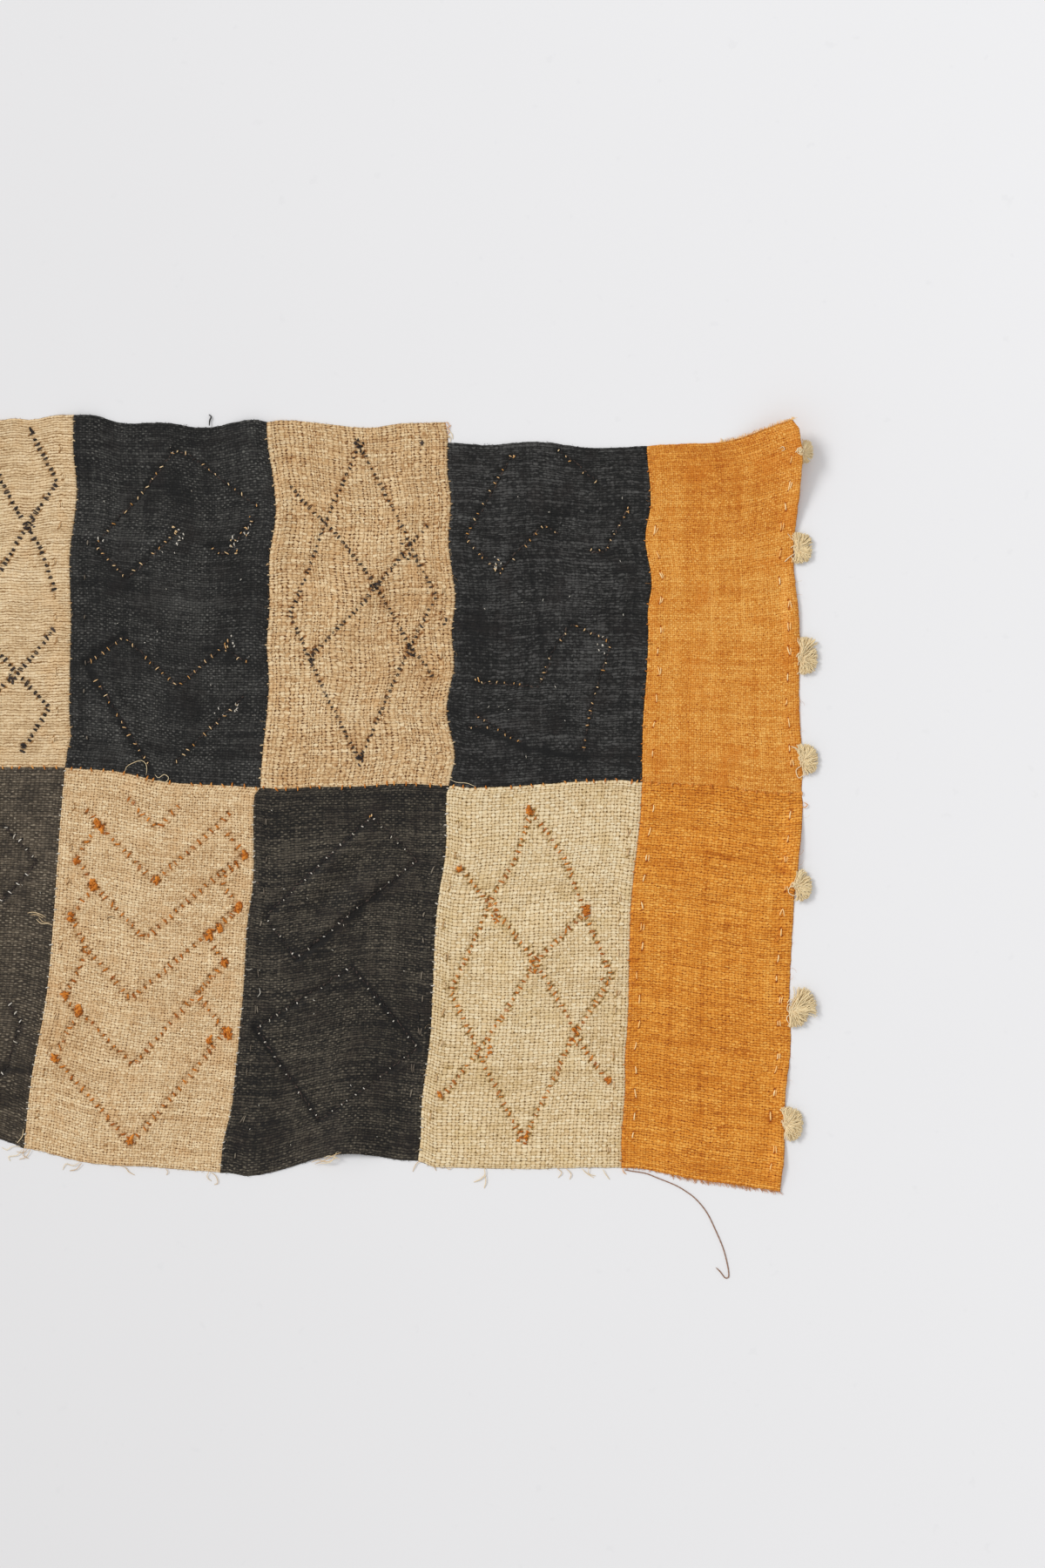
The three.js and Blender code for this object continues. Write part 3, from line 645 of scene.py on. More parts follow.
# Embroidery, in photograph pixels. Each line is its corners; a panel's thread, the space
# between stitches, and each one's length; width is in millimetres, and spread is how far
# stitches turn off square, in degrees
BLACK, GOLD, WHITE, RUST = "black", "gold", "white", "rust"
EMBROIDERY = [
    dict(panel="upper_1_natural", thread=BLACK, pitch=6.8, stitch=6.8, width=2.2, spread=9, lines=[
        [(36, 495), (66, 553), (0, 657)], [(0, 550), (45, 626), (64, 679)],
        [(64, 720), (18, 776), (-40, 824)], [(0, 750), (57, 812), (27, 859)],
        [(0, 657), (-38, 700), (0, 750)], [(0, 550), (-36, 497)],
    ]),
    dict(panel="upper_3_natural", thread=BLACK, pitch=6.8, stitch=5.2, width=1.6, spread=26, lines=[
        [(412, 510), (463, 608), (501, 684), (443, 803), (413, 872), (380, 808), (333, 706),
         (372, 604), (412, 510)],
        [(331, 556), (378, 605), (432, 672), (474, 748), (498, 778)],
        [(493, 603), (460, 640), (413, 697), (357, 753)],
    ]),
    dict(panel="lower_2_natural", thread=RUST, pitch=9.0, stitch=6.0, width=1.55, spread=18, lines=[
        [(145, 913), (181, 950), (207, 924)],
        [(97, 927), (178, 1011), (266, 933)],
        [(107, 1016), (167, 1078), (282, 981)],
        [(100, 1090), (150, 1147), (275, 1041)],
        [(90, 1160), (153, 1223), (259, 1105)],
        [(63, 1214), (150, 1312), (260, 1183)],
        [(113, 947), (87, 987), (107, 1016), (81, 1052), (100, 1090), (75, 1143), (90, 1160),
         (63, 1214)],
        [(259, 955), (282, 981), (254, 1008), (275, 1042), (240, 1075), (259, 1105),
         (227, 1141), (260, 1183)],
    ]),
    dict(panel="lower_4_pale", thread=RUST, pitch=7.6, stitch=6.0, width=1.45, spread=18, lines=[
        [(609, 929), (590, 990), (563, 1034), (517, 1137), (560, 1230), (600, 1310),
         (658, 1188), (702, 1120), (650, 988), (609, 929)],
        [(528, 997), (571, 1049), (615, 1105), (668, 1199), (698, 1240)],
        [(674, 1046), (615, 1105), (562, 1188), (505, 1262)],
        [(687, 1122), (700, 1130)],
    ]),
    dict(panel="upper_2_black", thread=GOLD, pitch=9.2, stitch=4.4, width=0.82, spread=28, lines=[
        [(109, 626), (161, 569), (200, 517), (230, 531), (298, 582)],
        [(109, 626), (145, 664), (206, 608)],
        [(240, 625), (258, 638), (292, 596)],
        [(100, 762), (143, 731), (205, 788), (264, 738)], [(265, 748), (285, 761)],
        [(200, 877), (245, 833), (281, 799)], [(108, 778), (172, 880)],
    ]),
    dict(panel="upper_4_black", thread=GOLD, pitch=9.2, stitch=3.4, width=0.82, spread=28, lines=[
        [(589, 519), (534, 618), (573, 657), (624, 603), (642, 613)],
        [(673, 632), (694, 634), (723, 582)], [(639, 514), (687, 555)],
        [(620, 785), (635, 746), (657, 716), (701, 738), (684, 793), (670, 863)],
        [(620, 788), (548, 783)], [(537, 836), (563, 836)], [(545, 819), (600, 854)],
    ]),
    dict(panel="lower_1_black", thread=WHITE, pitch=12.5, stitch=5.2, width=1.0, spread=20, lines=[
        [(3, 947), (42, 989), (8, 1028), (-30, 1060)],
        [(8, 1148), (25, 1176), (8, 1226), (-26, 1262)],
    ]),
    dict(panel="lower_3_black", thread=WHITE, pitch=11.5, stitch=3.0, width=0.95, spread=18, lines=[
        [(427, 938), (363, 997), (305, 1053), (340, 1101), (414, 1039), (479, 988),
         (427, 938)],
        [(404, 1110), (294, 1180), (367, 1286), (480, 1203), (404, 1110)],
    ]),
]

# Dark thread that sinks into the furrows between the bright stitches of the black panels, and
# the share of those bright stitches that is left
SUNK = dict(pitch=6.0, stitch=4.6, width=1.5, spread=20)
KEPT = 0.78

# Knotted clusters of stitches: panel, thread, x, y, reach in pixels, how many
CLUSTERS = [
    ("upper_1_natural", BLACK, 27, 859, 4, 9), ("upper_1_natural", BLACK, 34, 604, 8, 7),
    ("upper_1_natural", BLACK, 15, 776, 8, 7), ("upper_1_natural", BLACK, 36, 496, 3, 6),
    ("upper_3_natural", BLACK, 412, 512, 8, 9), ("upper_3_natural", BLACK, 431, 671, 8, 6),
    ("upper_3_natural", BLACK, 413, 871, 8, 7), ("upper_3_natural", BLACK, 474, 745, 8, 7),
    ("upper_3_natural", BLACK, 466, 630, 10, 9), ("upper_3_natural", BLACK, 357, 753, 8, 6),
    ("upper_3_natural", BLACK, 485, 507, 2, 3), ("upper_3_natural", BLACK, 510, 712, 4, 3),
    ("lower_2_natural", RUST, 112, 944, 5, 16), ("lower_2_natural", RUST, 117, 951, 4, 12),
    ("lower_2_natural", RUST, 107, 1016, 7, 26), ("lower_2_natural", RUST, 87, 988, 4, 10),
    ("lower_2_natural", RUST, 81, 1052, 5, 12), ("lower_2_natural", RUST, 178, 1010, 6, 6),
    ("lower_2_natural", RUST, 282, 981, 5, 12), ("lower_2_natural", RUST, 275, 1041, 7, 20),
    ("lower_2_natural", RUST, 241, 1073, 6, 18), ("lower_2_natural", RUST, 253, 1066, 5, 12),
    ("lower_2_natural", RUST, 258, 1104, 6, 16), ("lower_2_natural", RUST, 75, 1143, 6, 14),
    ("lower_2_natural", RUST, 90, 1160, 7, 24), ("lower_2_natural", RUST, 63, 1214, 6, 16),
    ("lower_2_natural", RUST, 262, 1185, 9, 26), ("lower_2_natural", RUST, 150, 1310, 8, 10),
    ("lower_2_natural", RUST, 241, 1195, 6, 10),
    ("lower_4_pale", RUST, 608, 931, 5, 18), ("lower_4_pale", RUST, 528, 998, 4, 8),
    ("lower_4_pale", RUST, 674, 1045, 6, 18), ("lower_4_pale", RUST, 571, 1048, 9, 8),
    ("lower_4_pale", RUST, 615, 1105, 9, 8), ("lower_4_pale", RUST, 660, 1190, 9, 8),
    ("lower_4_pale", RUST, 560, 1205, 9, 7), ("lower_4_pale", RUST, 698, 1240, 4, 9),
    ("lower_4_pale", RUST, 600, 1308, 8, 8), ("lower_4_pale", RUST, 505, 1256, 3, 6),
    ("upper_2_black", WHITE, 208, 617, 9, 8), ("upper_2_black", GOLD, 203, 608, 7, 4),
    ("upper_2_black", WHITE, 269, 624, 8, 6), ("upper_2_black", GOLD, 268, 625, 9, 4),
    ("upper_2_black", WHITE, 284, 606, 7, 5), ("upper_2_black", GOLD, 285, 604, 9, 3),
    ("upper_2_black", GOLD, 262, 741, 7, 5), ("upper_2_black", WHITE, 265, 737, 7, 4),
    ("upper_2_black", WHITE, 271, 813, 4, 6), ("upper_2_black", WHITE, 248, 815, 6, 2),
    ("upper_2_black", WHITE, 116, 622, 7, 3),
    ("upper_4_black", WHITE, 571, 646, 9, 6), ("upper_4_black", GOLD, 570, 652, 8, 4),
    ("upper_4_black", WHITE, 691, 740, 9, 6), ("upper_4_black", GOLD, 588, 521, 4, 2),
    ("upper_4_black", GOLD, 721, 583, 5, 3), ("upper_4_black", GOLD, 548, 784, 4, 3),
    ("lower_3_black", GOLD, 427, 937, 4, 3),
]
KNOTTED = ("lower_2_natural", "lower_4_pale")

SKETCH = {row["panel"]: row["lines"] for row in EMBROIDERY}


def to_segment(x, y, start, end):
    """Distance from a segment, and the share of the way along it; everything in pixels."""
    dx, dy = end[0] - start[0], end[1] - start[1]
    share = np.clip(((x - start[0]) * dx + (y - start[1]) * dy) / (dx * dx + dy * dy), 0, 1)
    return np.hypot(x - start[0] - share * dx, y - start[1] - share * dy), share


def legs(lines):
    """The straight stretches of lines of corners, from and to."""
    return [leg for line in lines for leg in zip(line, line[1:])]


def bell(distance, half):
    return np.exp(-((distance / half) ** 2))


# Wrinkles, as size, height and seed; the pucker beside stitches, its places and widths in
# pixels and its heights in millimetres; and how deep a furrow can be
WRINKLES = [(41, 0.6, 11), (15, 0.26, 12), (5, 0.1, 13)]
PUCKER = dict(deep=0.55, half=3.2, high=0.3, beside=7, beside_half=4, size=9, seed=31)
DEEPEST = 0.9


def relief(x, y, lines):
    """Fine wrinkles, creases and the pucker beside stitches, over the lift; millimetres."""
    px, py = in_pixels(x, y)
    height = sum(high * wobble(x, y, size, seed) for size, high, seed in WRINKLES)
    for x0, y0, x1, y1, half, depth in CREASES:
        distance, share = to_segment(px, py, (x0, y0), (x1, y1))
        ends = smooth(share * 5) * smooth((1 - share) * 5)
        uneven = 0.75 + 0.35 * wobble(px, py, 17, x0 + y1)
        height = height + depth * ends * uneven * bell(distance, half)
    for start, end in legs(lines):
        distance, _ = to_segment(px, py, start, end)
        ridge = bell(distance - PUCKER["beside"], PUCKER["beside_half"])
        ridge = PUCKER["high"] * ridge * (1 + wobble(px, py, PUCKER["size"], PUCKER["seed"]))
        height = height - PUCKER["deep"] * bell(distance, PUCKER["half"]) + ridge
    return np.where(height < 0, DEEPEST * np.tanh(height / DEEPEST), height)


def surface(x, y, lines=()):
    """The cloth's top above the floor, without its weave; sheet millimetres."""
    return lift(x, y) + THICKNESS + relief(x, y, lines)


# Mottling of the dye: size, how the two ways are stretched, and weight; the last two streak
# the wefts and the warps. Then how much painted shade darkens the furrows under stitches, and a
# prick, whose hole is painted as shade
MOTTLES = [(58, 1, 1, 1), (23, 1, 1, 0.7), (7, 1, 1, 0.5), (3.6, 0.1, 1, 1), (3.6, 1, 0.1, 1.1)]
FURROW_SHADE = dict(half=3.4, black=0.3, other=0.07)
PRICKED, HOLE_BELOW = -2.0, -1.5


def dye_and_painted_shade(panel, x, y, pricks, seed):
    """Dye and painted shade of creases and furrows, -1 the darkest; PRICKED in stitch holes, painted shade
    too.
    """
    px, py = in_pixels(x, y)
    value = CLOTHS[panel["node"]]["mottle"] * sum(
        weight * wobble(x * along_x, y * along_y, size, seed + number)
        for number, (size, along_x, along_y, weight) in enumerate(MOTTLES))
    for x0, y0, x1, y1, half, amount in STAINS_AND_CREASE_SHADE.get(panel["node"], ()):
        distance, _ = to_segment(px, py, (x0, y0), (x1, y1))
        uneven = 0.85 + 0.5 * wobble(px, py, 13, x0 + y0)
        value = value + amount * uneven * bell(distance, half)
    # painted shade in the furrows along the embroidery
    furrow = FURROW_SHADE["black" if panel["colour"] == "black" else "other"]
    for start, end in legs(SKETCH.get(panel["node"], ())):
        distance, _ = to_segment(px, py, start, end)
        value = value - furrow * bell(distance, FURROW_SHADE["half"])
    # pricked holes, painted as shade in the weave
    for x0, y0, reach in pricks:
        value = np.where((px - x0) ** 2 + (py - y0) ** 2 < reach ** 2, PRICKED, value)
    return value


# Panels: warps run down the cloth and wefts along it; sway is how far yarns stray and rib how
# high they stand, in millimetres; uneven is how much their widths vary
PANELS = [
    dict(node="upper_1_natural", warps=60, wefts=129, sway=1.2, rib=0.26, uneven=0.25),
    dict(node="upper_2_black", warps=66, wefts=145, sway=2.2, rib=0.42, uneven=0.3),
    dict(node="upper_3_natural", warps=45, wefts=131, sway=2.4, rib=0.27, uneven=0.46),
    dict(node="upper_4_black", warps=52, wefts=128, sway=2.6, rib=0.46, uneven=0.38),
    dict(node="upper_5_orange", warps=72, wefts=165, sway=1.1, rib=0.2, uneven=0.28),
    dict(node="lower_1_black", warps=50, wefts=160, sway=1.5, rib=0.36, uneven=0.25),
    dict(node="lower_2_natural", warps=66, wefts=150, sway=1.8, rib=0.28, uneven=0.3),
    dict(node="lower_3_black", warps=60, wefts=150, sway=2.0, rib=0.44, uneven=0.28),
    dict(node="lower_4_pale", warps=50, wefts=124, sway=1.7, rib=0.42, uneven=0.3),
    dict(node="lower_5_orange", warps=50, wefts=160, sway=1.2, rib=0.26, uneven=0.26),
]
COLUMNS = 5
for number, panel in enumerate(PANELS):
    panel["row"], _, panel["colour"] = panel["node"].split("_")
    panel["column"] = number % COLUMNS

# Steps of the grid on the top between points of the back, the back's height over the floor
# side of the cloth, and how far sewn edges reach past the seam's line; millimetres
BACK_STEP = 6
UNDER_GAP = 0.05
MEET = 0.8
# How far free edges nick in, and the size and reach of their wander
NICK = dict(side=0.35, end=0.4, wander=0.3, side_size=5.2, end_size=4.6, reach=2.2)
# How the rim thins, the depth of a prick and the least thickness, millimetres
RIM = dict(thin=0.3, prick=0.3, least=0.35)
# How yarns sway off the even grid: sizes and shares of the panel's own sway, in x and in y
SWAY = dict(x=[(52, 0.9), (17, 0.25)], y=[(47, 0.8), (15, 0.25)])
UV_MARGIN = 0.01


def yarn_lines(count, rng, uneven):
    """Shares of the way at which yarns' edges and middles lie: 2 * count + 1 of them."""
    widths = rng.uniform(1 - uneven, 1 + uneven, count)
    edges = np.concatenate([[0], np.cumsum(widths)]) / widths.sum()
    lines = np.empty(2 * count + 1)
    lines[0::2] = edges
    lines[1::2] = (edges[:-1] + edges[1:]) / 2
    return lines


def panel_points(panel, u, v):
    """The panel's plan: a grid of points blended from its four sides, in sheet millimetres."""
    row, column = panel["row"], panel["column"]
    start = STEP_SHARE if row == "upper" and column == STEP_COLUMN else 0
    left, right = seam(row, column, start + (1 - start) * v), seam(row, column + 1, v)
    head, foot = (level_edge(level, column, u) for level in (HEAD[row], FOOT[row]))
    heads, feet = (level_edge(level, column, [0, 1]) for level in (HEAD[row], FOOT[row]))
    across, down = u[None, :, None], v[:, None, None]
    points = ((1 - down) * head[None] + down * foot[None]
              + (1 - across) * left[:, None] + across * right[:, None])
    points -= (1 - across) * (1 - down) * heads[0] + across * (1 - down) * heads[1]
    points -= (1 - across) * down * feet[0] + across * down * feet[1]
    return points[..., 0], points[..., 1]


def new_object(name, points, groups, material):
    """A mesh of groups of faces; each group is an array of faces with equally many corners."""
    mesh = bpy.data.meshes.new(name)
    mesh.vertices.add(len(points))
    mesh.vertices.foreach_set("co", np.asarray(points, np.float32).ravel())
    sizes = np.concatenate([np.full(len(group), group.shape[1]) for group in groups])
    corners = np.concatenate([group.ravel() for group in groups])
    mesh.loops.add(len(corners))
    mesh.loops.foreach_set("vertex_index", corners.astype(np.int32))
    mesh.polygons.add(len(sizes))
    mesh.polygons.foreach_set("loop_start", (np.cumsum(sizes) - sizes).astype(np.int32))
    mesh.polygons.foreach_set("use_smooth", np.ones(len(sizes), bool))
    mesh.update(calc_edges=True)
    mesh.materials.append(material)
    piece = bpy.data.objects.new(name, mesh)
    bpy.context.collection.objects.link(piece)
    return piece


def set_vectors(piece, name, values):
    attribute = piece.data.attributes.new(name, "FLOAT_VECTOR", "POINT")
    attribute.data.foreach_set("vector", np.asarray(values, np.float32).ravel())


def set_plan_uv(piece, points):
    """A map for baking: the plan of the piece, so that no seam crosses the weave."""
    layer = piece.data.uv_layers.new(name="OFBake")
    corners = np.empty(len(piece.data.loops), np.int32)
    piece.data.loops.foreach_get("vertex_index", corners)
    plan = np.asarray(points)[:, :2]
    low, high = plan.min(axis=0), plan.max(axis=0)
    uv = (plan - low) / (high - low).max() * (1 - 2 * UV_MARGIN) + UV_MARGIN
    layer.data.foreach_set("uv", uv[corners].astype(np.float32).ravel())


def nicked(panel, x, y, u, v, to_sides, to_ends, rng, seed):
    """Edges nick in between yarns; sewn ones reach out to meet their neighbours."""
    upper, column, reach = panel["row"] == "upper", panel["column"], NICK["reach"]
    met = np.where(u < 0.5, MEET * (column > 0), MEET * (column < COLUMNS - 1))
    wander = NICK["wander"] * (wobble(y, 0 * y, NICK["side_size"], seed) + 1)
    nick = NICK["side"] * rng.random((len(v), 1)) + wander - met
    x = x + np.sign(0.5 - u)[None, :] * nick * np.exp(-to_sides / reach)
    met = np.where(v < 0.5, MEET * (not upper), MEET * upper)[:, None]
    wander = NICK["wander"] * (wobble(x, 0 * x, NICK["end_size"], seed + 1) + 1)
    nick = NICK["end"] * rng.random((1, len(u))) + wander - met
    return x, y - np.sign(0.5 - v)[:, None] * nick * np.exp(-to_ends / reach)


def grid_area(x, y):
    """Area of a grid of quads: half the cross product of each one's diagonals."""
    one = (x[1:, 1:] - x[:-1, :-1]) * (y[1:, :-1] - y[:-1, 1:])
    other = (x[1:, :-1] - x[:-1, 1:]) * (y[1:, 1:] - y[:-1, :-1])
    return 0.5 * abs(np.sum(one - other))


def grid_faces(index):
    """Quads between the points of a grid, seen from above."""
    return np.stack([index[1:, :-1], index[1:, 1:], index[:-1, 1:], index[:-1, :-1]],
                    axis=-1).reshape(-1, 4)


def rim_faces(rim, marks, base):
    """Closes the rim of the top onto the coarser rim of the back, as fans."""
    faces = []
    for k, (start, end) in enumerate(zip(marks, marks[1:])):
        half = (start + end) // 2
        for i in range(start, end):
            faces.append((base[k] if i < half else base[k + 1], rim[i + 1], rim[i]))
        faces.append((base[k + 1], rim[half], base[k]))
    return faces


def weave_height(panel, rows, columns, rng):
    """Wefts over and under the warps, some thicker than others, with dips between them."""
    face = CLOTHS[panel["node"]]["weft_face"]
    row, column = np.meshgrid(np.arange(rows), np.arange(columns), indexing="ij")
    on_weft, on_warp = row % 2 == 1, column % 2 == 1
    weft_over = (row // 2 + column // 2) % 2 == 1
    height = np.where(
        on_weft & on_warp, np.where(weft_over, 1.0, 0.7 - 0.4 * face),
        np.where(on_weft, 0.6 * face - 0.3, np.where(on_warp, -0.3 - 0.6 * face, -1.2)))
    thick = rng.uniform(0.6, 1.4, (rows // 2 + 1, 1))[np.arange(rows) // 2]
    thick = thick * rng.uniform(0.8, 1.2, (1, columns // 2 + 1))[:, np.arange(columns) // 2]
    return panel["rib"] * height * thick * rng.uniform(0.7, 1.3, (rows, columns))


def add_panel(panel, pricks, seed):
    """A cloth woven yarn by yarn: its top, a coarser plain back, and the rim between them."""
    rng = np.random.default_rng(seed)
    node = panel["node"]
    u, v = (yarn_lines(panel[kind], rng, panel["uneven"]) for kind in ("warps", "wefts"))
    x, y = panel_points(panel, u, v)
    rows, columns = x.shape
    inside = np.outer(smooth(np.minimum(v, 1 - v) * 14), smooth(np.minimum(u, 1 - u) * 9))

    def sway(axis, seed):
        return inside * panel["sway"] * sum(
            wobble(x, y, size, seed + k) * share for k, (size, share) in enumerate(SWAY[axis]))

    x = x + sway("x", seed + 1)
    y = y + sway("y", seed + 3)
    width, length = np.ptp(x), np.ptp(y)
    to_sides = np.minimum(u, 1 - u)[None, :] * width + 0 * x
    to_ends = np.minimum(v, 1 - v)[:, None] * length + 0 * x
    panel.update(area=grid_area(x, y) * MM * MM, width=width * MM, length=length * MM)
    x, y = nicked(panel, x, y, u, v, to_sides, to_ends, rng, seed + 5)

    edge = np.minimum(to_sides, to_ends)
    floor, dye_and_shade = lift(x, y), dye_and_painted_shade(panel, x, y, pricks, seed + 7)
    top = floor + THICKNESS + relief(x, y, SKETCH.get(node, ()))
    top = top + HEM["step"] * smooth((HEM["width"] - edge) / HEM["fall"])
    top = top + weave_height(panel, rows, columns, rng) - RIM["prick"] * (dye_and_shade < HOLE_BELOW)
    roll = np.sqrt(1 - (1 - np.clip(edge / HEM["roll"], 0, 1)) ** 2)
    top = floor + (top - floor) * (RIM["thin"] + (1 - RIM["thin"]) * roll)
    top = np.maximum(top, floor + RIM["least"])

    back_rows, back_columns = (
        np.unique(np.append(np.arange(0, count, BACK_STEP), count - 1)) for count in x.shape)
    pick = np.ix_(back_rows, back_columns)
    under = in_frame(x[pick], y[pick], floor[pick] + UNDER_GAP)
    points = np.concatenate([in_frame(x, y, top).reshape(-1, 3), under.reshape(-1, 3)])

    index = np.arange(rows * columns).reshape(rows, columns)
    below = rows * columns + np.arange(under[..., 0].size).reshape(under.shape[:2])
    walls = [
        *rim_faces(index[-1, :], back_columns, below[-1, :]),
        *rim_faces(index[::-1, -1], rows - 1 - back_rows[::-1], below[::-1, -1]),
        *rim_faces(index[0, ::-1], columns - 1 - back_columns[::-1], below[0, ::-1]),
        *rim_faces(index[:, 0], back_rows, below[:, 0])]

    groups = [grid_faces(index), grid_faces(below)[:, ::-1], np.array(walls)]
    piece = new_object(node + "_cloth", points, groups, raffia(node, CLOTHS[node], float(seed)))
    counts = [np.interp(lines, lines[0::2], np.arange(len(lines) // 2 + 1.0)) for lines in (u, v)]
    yarn = np.stack([*np.meshgrid(*counts), dye_and_shade], axis=-1)
    set_vectors(piece, "yarn", np.concatenate([yarn.reshape(-1, 3), yarn[pick].reshape(-1, 3)]))
    set_plan_uv(piece, points)
    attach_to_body(piece, "root")
    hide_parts(node)
    panel["piece"] = piece


# Strands: swept tubes, joined into one mesh

def strands(paths, radii, sides, tones, flat=1.0):
    """Points and faces of a tube along each path (n, k, 3) with radii (n, k); flat squeezes
    its height. Returns points, quads and a vector for each point: tone, share along, 0."""
    paths = np.asarray(paths, float)
    n, k, _ = paths.shape
    radii = np.broadcast_to(radii, (n, k))
    forward = np.gradient(paths, axis=1)
    forward /= np.linalg.norm(forward, axis=2, keepdims=True) + 1e-12
    up = np.zeros_like(forward)
    up[..., 2] = 1
    up[np.abs(forward[..., 2]) > 0.95] = (1, 0, 0)
    across = np.cross(forward, up)
    across /= np.linalg.norm(across, axis=2, keepdims=True) + 1e-12
    above = np.cross(across, forward)
    turn = np.arange(sides) * 2 * math.pi / sides
    ring = (across[:, :, None] * np.cos(turn)[None, None, :, None]
            + flat * above[:, :, None] * np.sin(turn)[None, None, :, None])
    points = paths[:, :, None] + ring * radii[:, :, None, None]
    start = np.arange(n)[:, None, None] * k * sides
    level = np.arange(k - 1)[None, :, None] * sides
    a = np.arange(sides)[None, None, :]
    b = (a + 1) % sides
    quads = np.stack([start + level + a, start + level + b, start + level + sides + b,
                      start + level + sides + a], axis=-1).reshape(-1, 4)
    facts = np.zeros((n, k, sides, 3))
    facts[..., 0] = np.asarray(tones)[:, None, None]
    facts[..., 1] = np.linspace(0, 1, k)[None, :, None]
    return points.reshape(-1, 3), quads, facts.reshape(-1, 3)


class Bundle:
    """Gathers strands of several shapes into one piece."""

    def __init__(self):
        self.points, self.faces, self.facts, self.count = [], [], [], 0

    def add(self, paths, radii, sides, tones, flat=1.0):
        if len(paths) == 0:
            return
        points, quads, facts = strands(paths, radii, sides, tones, flat)
        self.points.append(points)
        self.faces.append(quads + self.count)
        self.facts.append(facts)
        self.count += len(points)

    def build(self, name, material, slot):
        piece = new_object(
            name, np.concatenate(self.points), [np.concatenate(self.faces)], material)
        set_vectors(piece, "strand", np.concatenate(self.facts))
        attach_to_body(piece, "root")
        return piece


def taper(k, radius, ends=0.35):
    """Radii of a strand that swells in the middle."""
    share = np.linspace(0, 1, k)
    return radius * (ends + (1 - ends) * np.sin(math.pi * share) ** 0.6)


def spline(points, steps):
    """A smooth run through the points, evenly stepped."""
    points = np.asarray(points, float)
    gaps = np.linalg.norm(np.diff(points, axis=0), axis=1) ** 0.5
    knots = np.concatenate([[0], np.cumsum(gaps)])
    slope = np.gradient(points, knots, axis=0)
    t = np.linspace(0, knots[-1], steps)
    k = np.clip(np.searchsorted(knots, t) - 1, 0, len(points) - 2)
    h = (knots[k + 1] - knots[k])[:, None]
    s = ((t - knots[k])[:, None]) / h
    return ((2 * s ** 3 - 3 * s ** 2 + 1) * points[k] + (s ** 3 - 2 * s ** 2 + s) * h * slope[k]
            + (3 * s ** 2 - 2 * s ** 3) * points[k + 1] + (s ** 3 - s ** 2) * h * slope[k + 1])


TAN, ORANGE, PEACH, CREAM, SOOT, DUST = "tan", "orange", "peach", "cream", "soot", "dust"
FIBRES = {
    BLACK: (fibre("black_thread", (18, 14, 14), (88, 74, 66)), "black_raffia"),
    SOOT: (fibre("black_strands", (12, 11, 11), (56, 54, 52)), "black_raffia"),
    GOLD: (fibre("gold_thread", (204, 146, 74), (252, 228, 182)), "natural_raffia"),
    WHITE: (fibre("white_thread", (178, 170, 154), (236, 230, 218)), "cream_raffia"),
    RUST: (fibre("rust_thread", (168, 86, 12), (240, 156, 58)), "orange_raffia"),
    TAN: (fibre("tan_strands", (188, 146, 94), (240, 220, 180)), "natural_raffia"),
    ORANGE: (fibre("orange_strands", (190, 108, 28), (238, 176, 96)), "orange_raffia"),
    PEACH: (fibre("peach_strands", (252, 194, 112), (255, 236, 186)), "orange_raffia"),
    DUST: (fibre("dusty_strands", (90, 81, 70), (150, 139, 122)), "black_raffia"),
    CREAM: (fibre("cream_strands", (216, 186, 138), (248, 232, 196), 0.2, (242, 222, 178)),
            "cream_raffia"),
}


# Stitches: points along each, how far its ends dip into the cloth and the least height over
# the floor side, in millimetres, and how much its height is squeezed
STITCH = dict(points=5, dip=0.4, least=0.7, flat=0.85)


def arcs(places, headings, lengths, heights, rng, lines=(), above=0.0):
    """Small stitches, in photograph pixels, that rise out of the cloth and go back in."""
    share = np.linspace(-0.5, 0.5, STITCH["points"])
    x = places[:, 0, None] + np.cos(headings)[:, None] * share * lengths[:, None]
    y = places[:, 1, None] - np.sin(headings)[:, None] * share * lengths[:, None]
    bend = rng.uniform(-0.6, 0.6, (len(places), 1)) * (1 - (2 * share) ** 2)
    x = x + bend * np.sin(headings)[:, None]
    y = y + bend * np.cos(headings)[:, None]
    base = surface(*in_sheet(x, y), lines) + above
    hump = (1 - (2 * share) ** 4)[None] * heights[:, None] - STITCH["dip"]
    return lay(x, y, np.maximum(base + hump, lift(*in_sheet(x, y)) + STITCH["least"]))


def sew(bundle, places, headings, lengths, width, rng, lines=(), ply=2, rise=(1.0, 1.5),
        above=0.0):
    """Stitches of a few threads side by side; width in millimetres, the rest in pixels."""
    count = len(places)
    if not count:
        return
    places, headings = np.asarray(places, float), np.asarray(headings, float)
    lengths = np.asarray(lengths, float)
    normal = np.stack([np.sin(headings), np.cos(headings)], axis=-1)
    for thread in range(ply):
        off = (thread - (ply - 1) / 2) * width / ply * MM / PIXEL
        paths = arcs(
            places + off * normal + rng.normal(0, 0.2, (count, 2)),
            headings + rng.normal(0, 0.13, count), lengths * rng.uniform(0.75, 1.1, count),
            rng.uniform(*rise, count), rng, lines, above)
        thick = taper(STITCH["points"], width / ply * MM, 0.6)
        radii = rng.uniform(0.5, 0.66, (count, 1)) * thick
        bundle.add(paths, radii, 4, rng.uniform(0, 1, count), flat=STITCH["flat"])


def tips(places, headings, lengths, reach):
    """Both ends of each stitch, where reach is their share of its length from its middle."""
    ahead = np.stack([np.cos(headings), -np.sin(headings)], axis=-1) * lengths[:, None] * reach
    return places + ahead, places - ahead


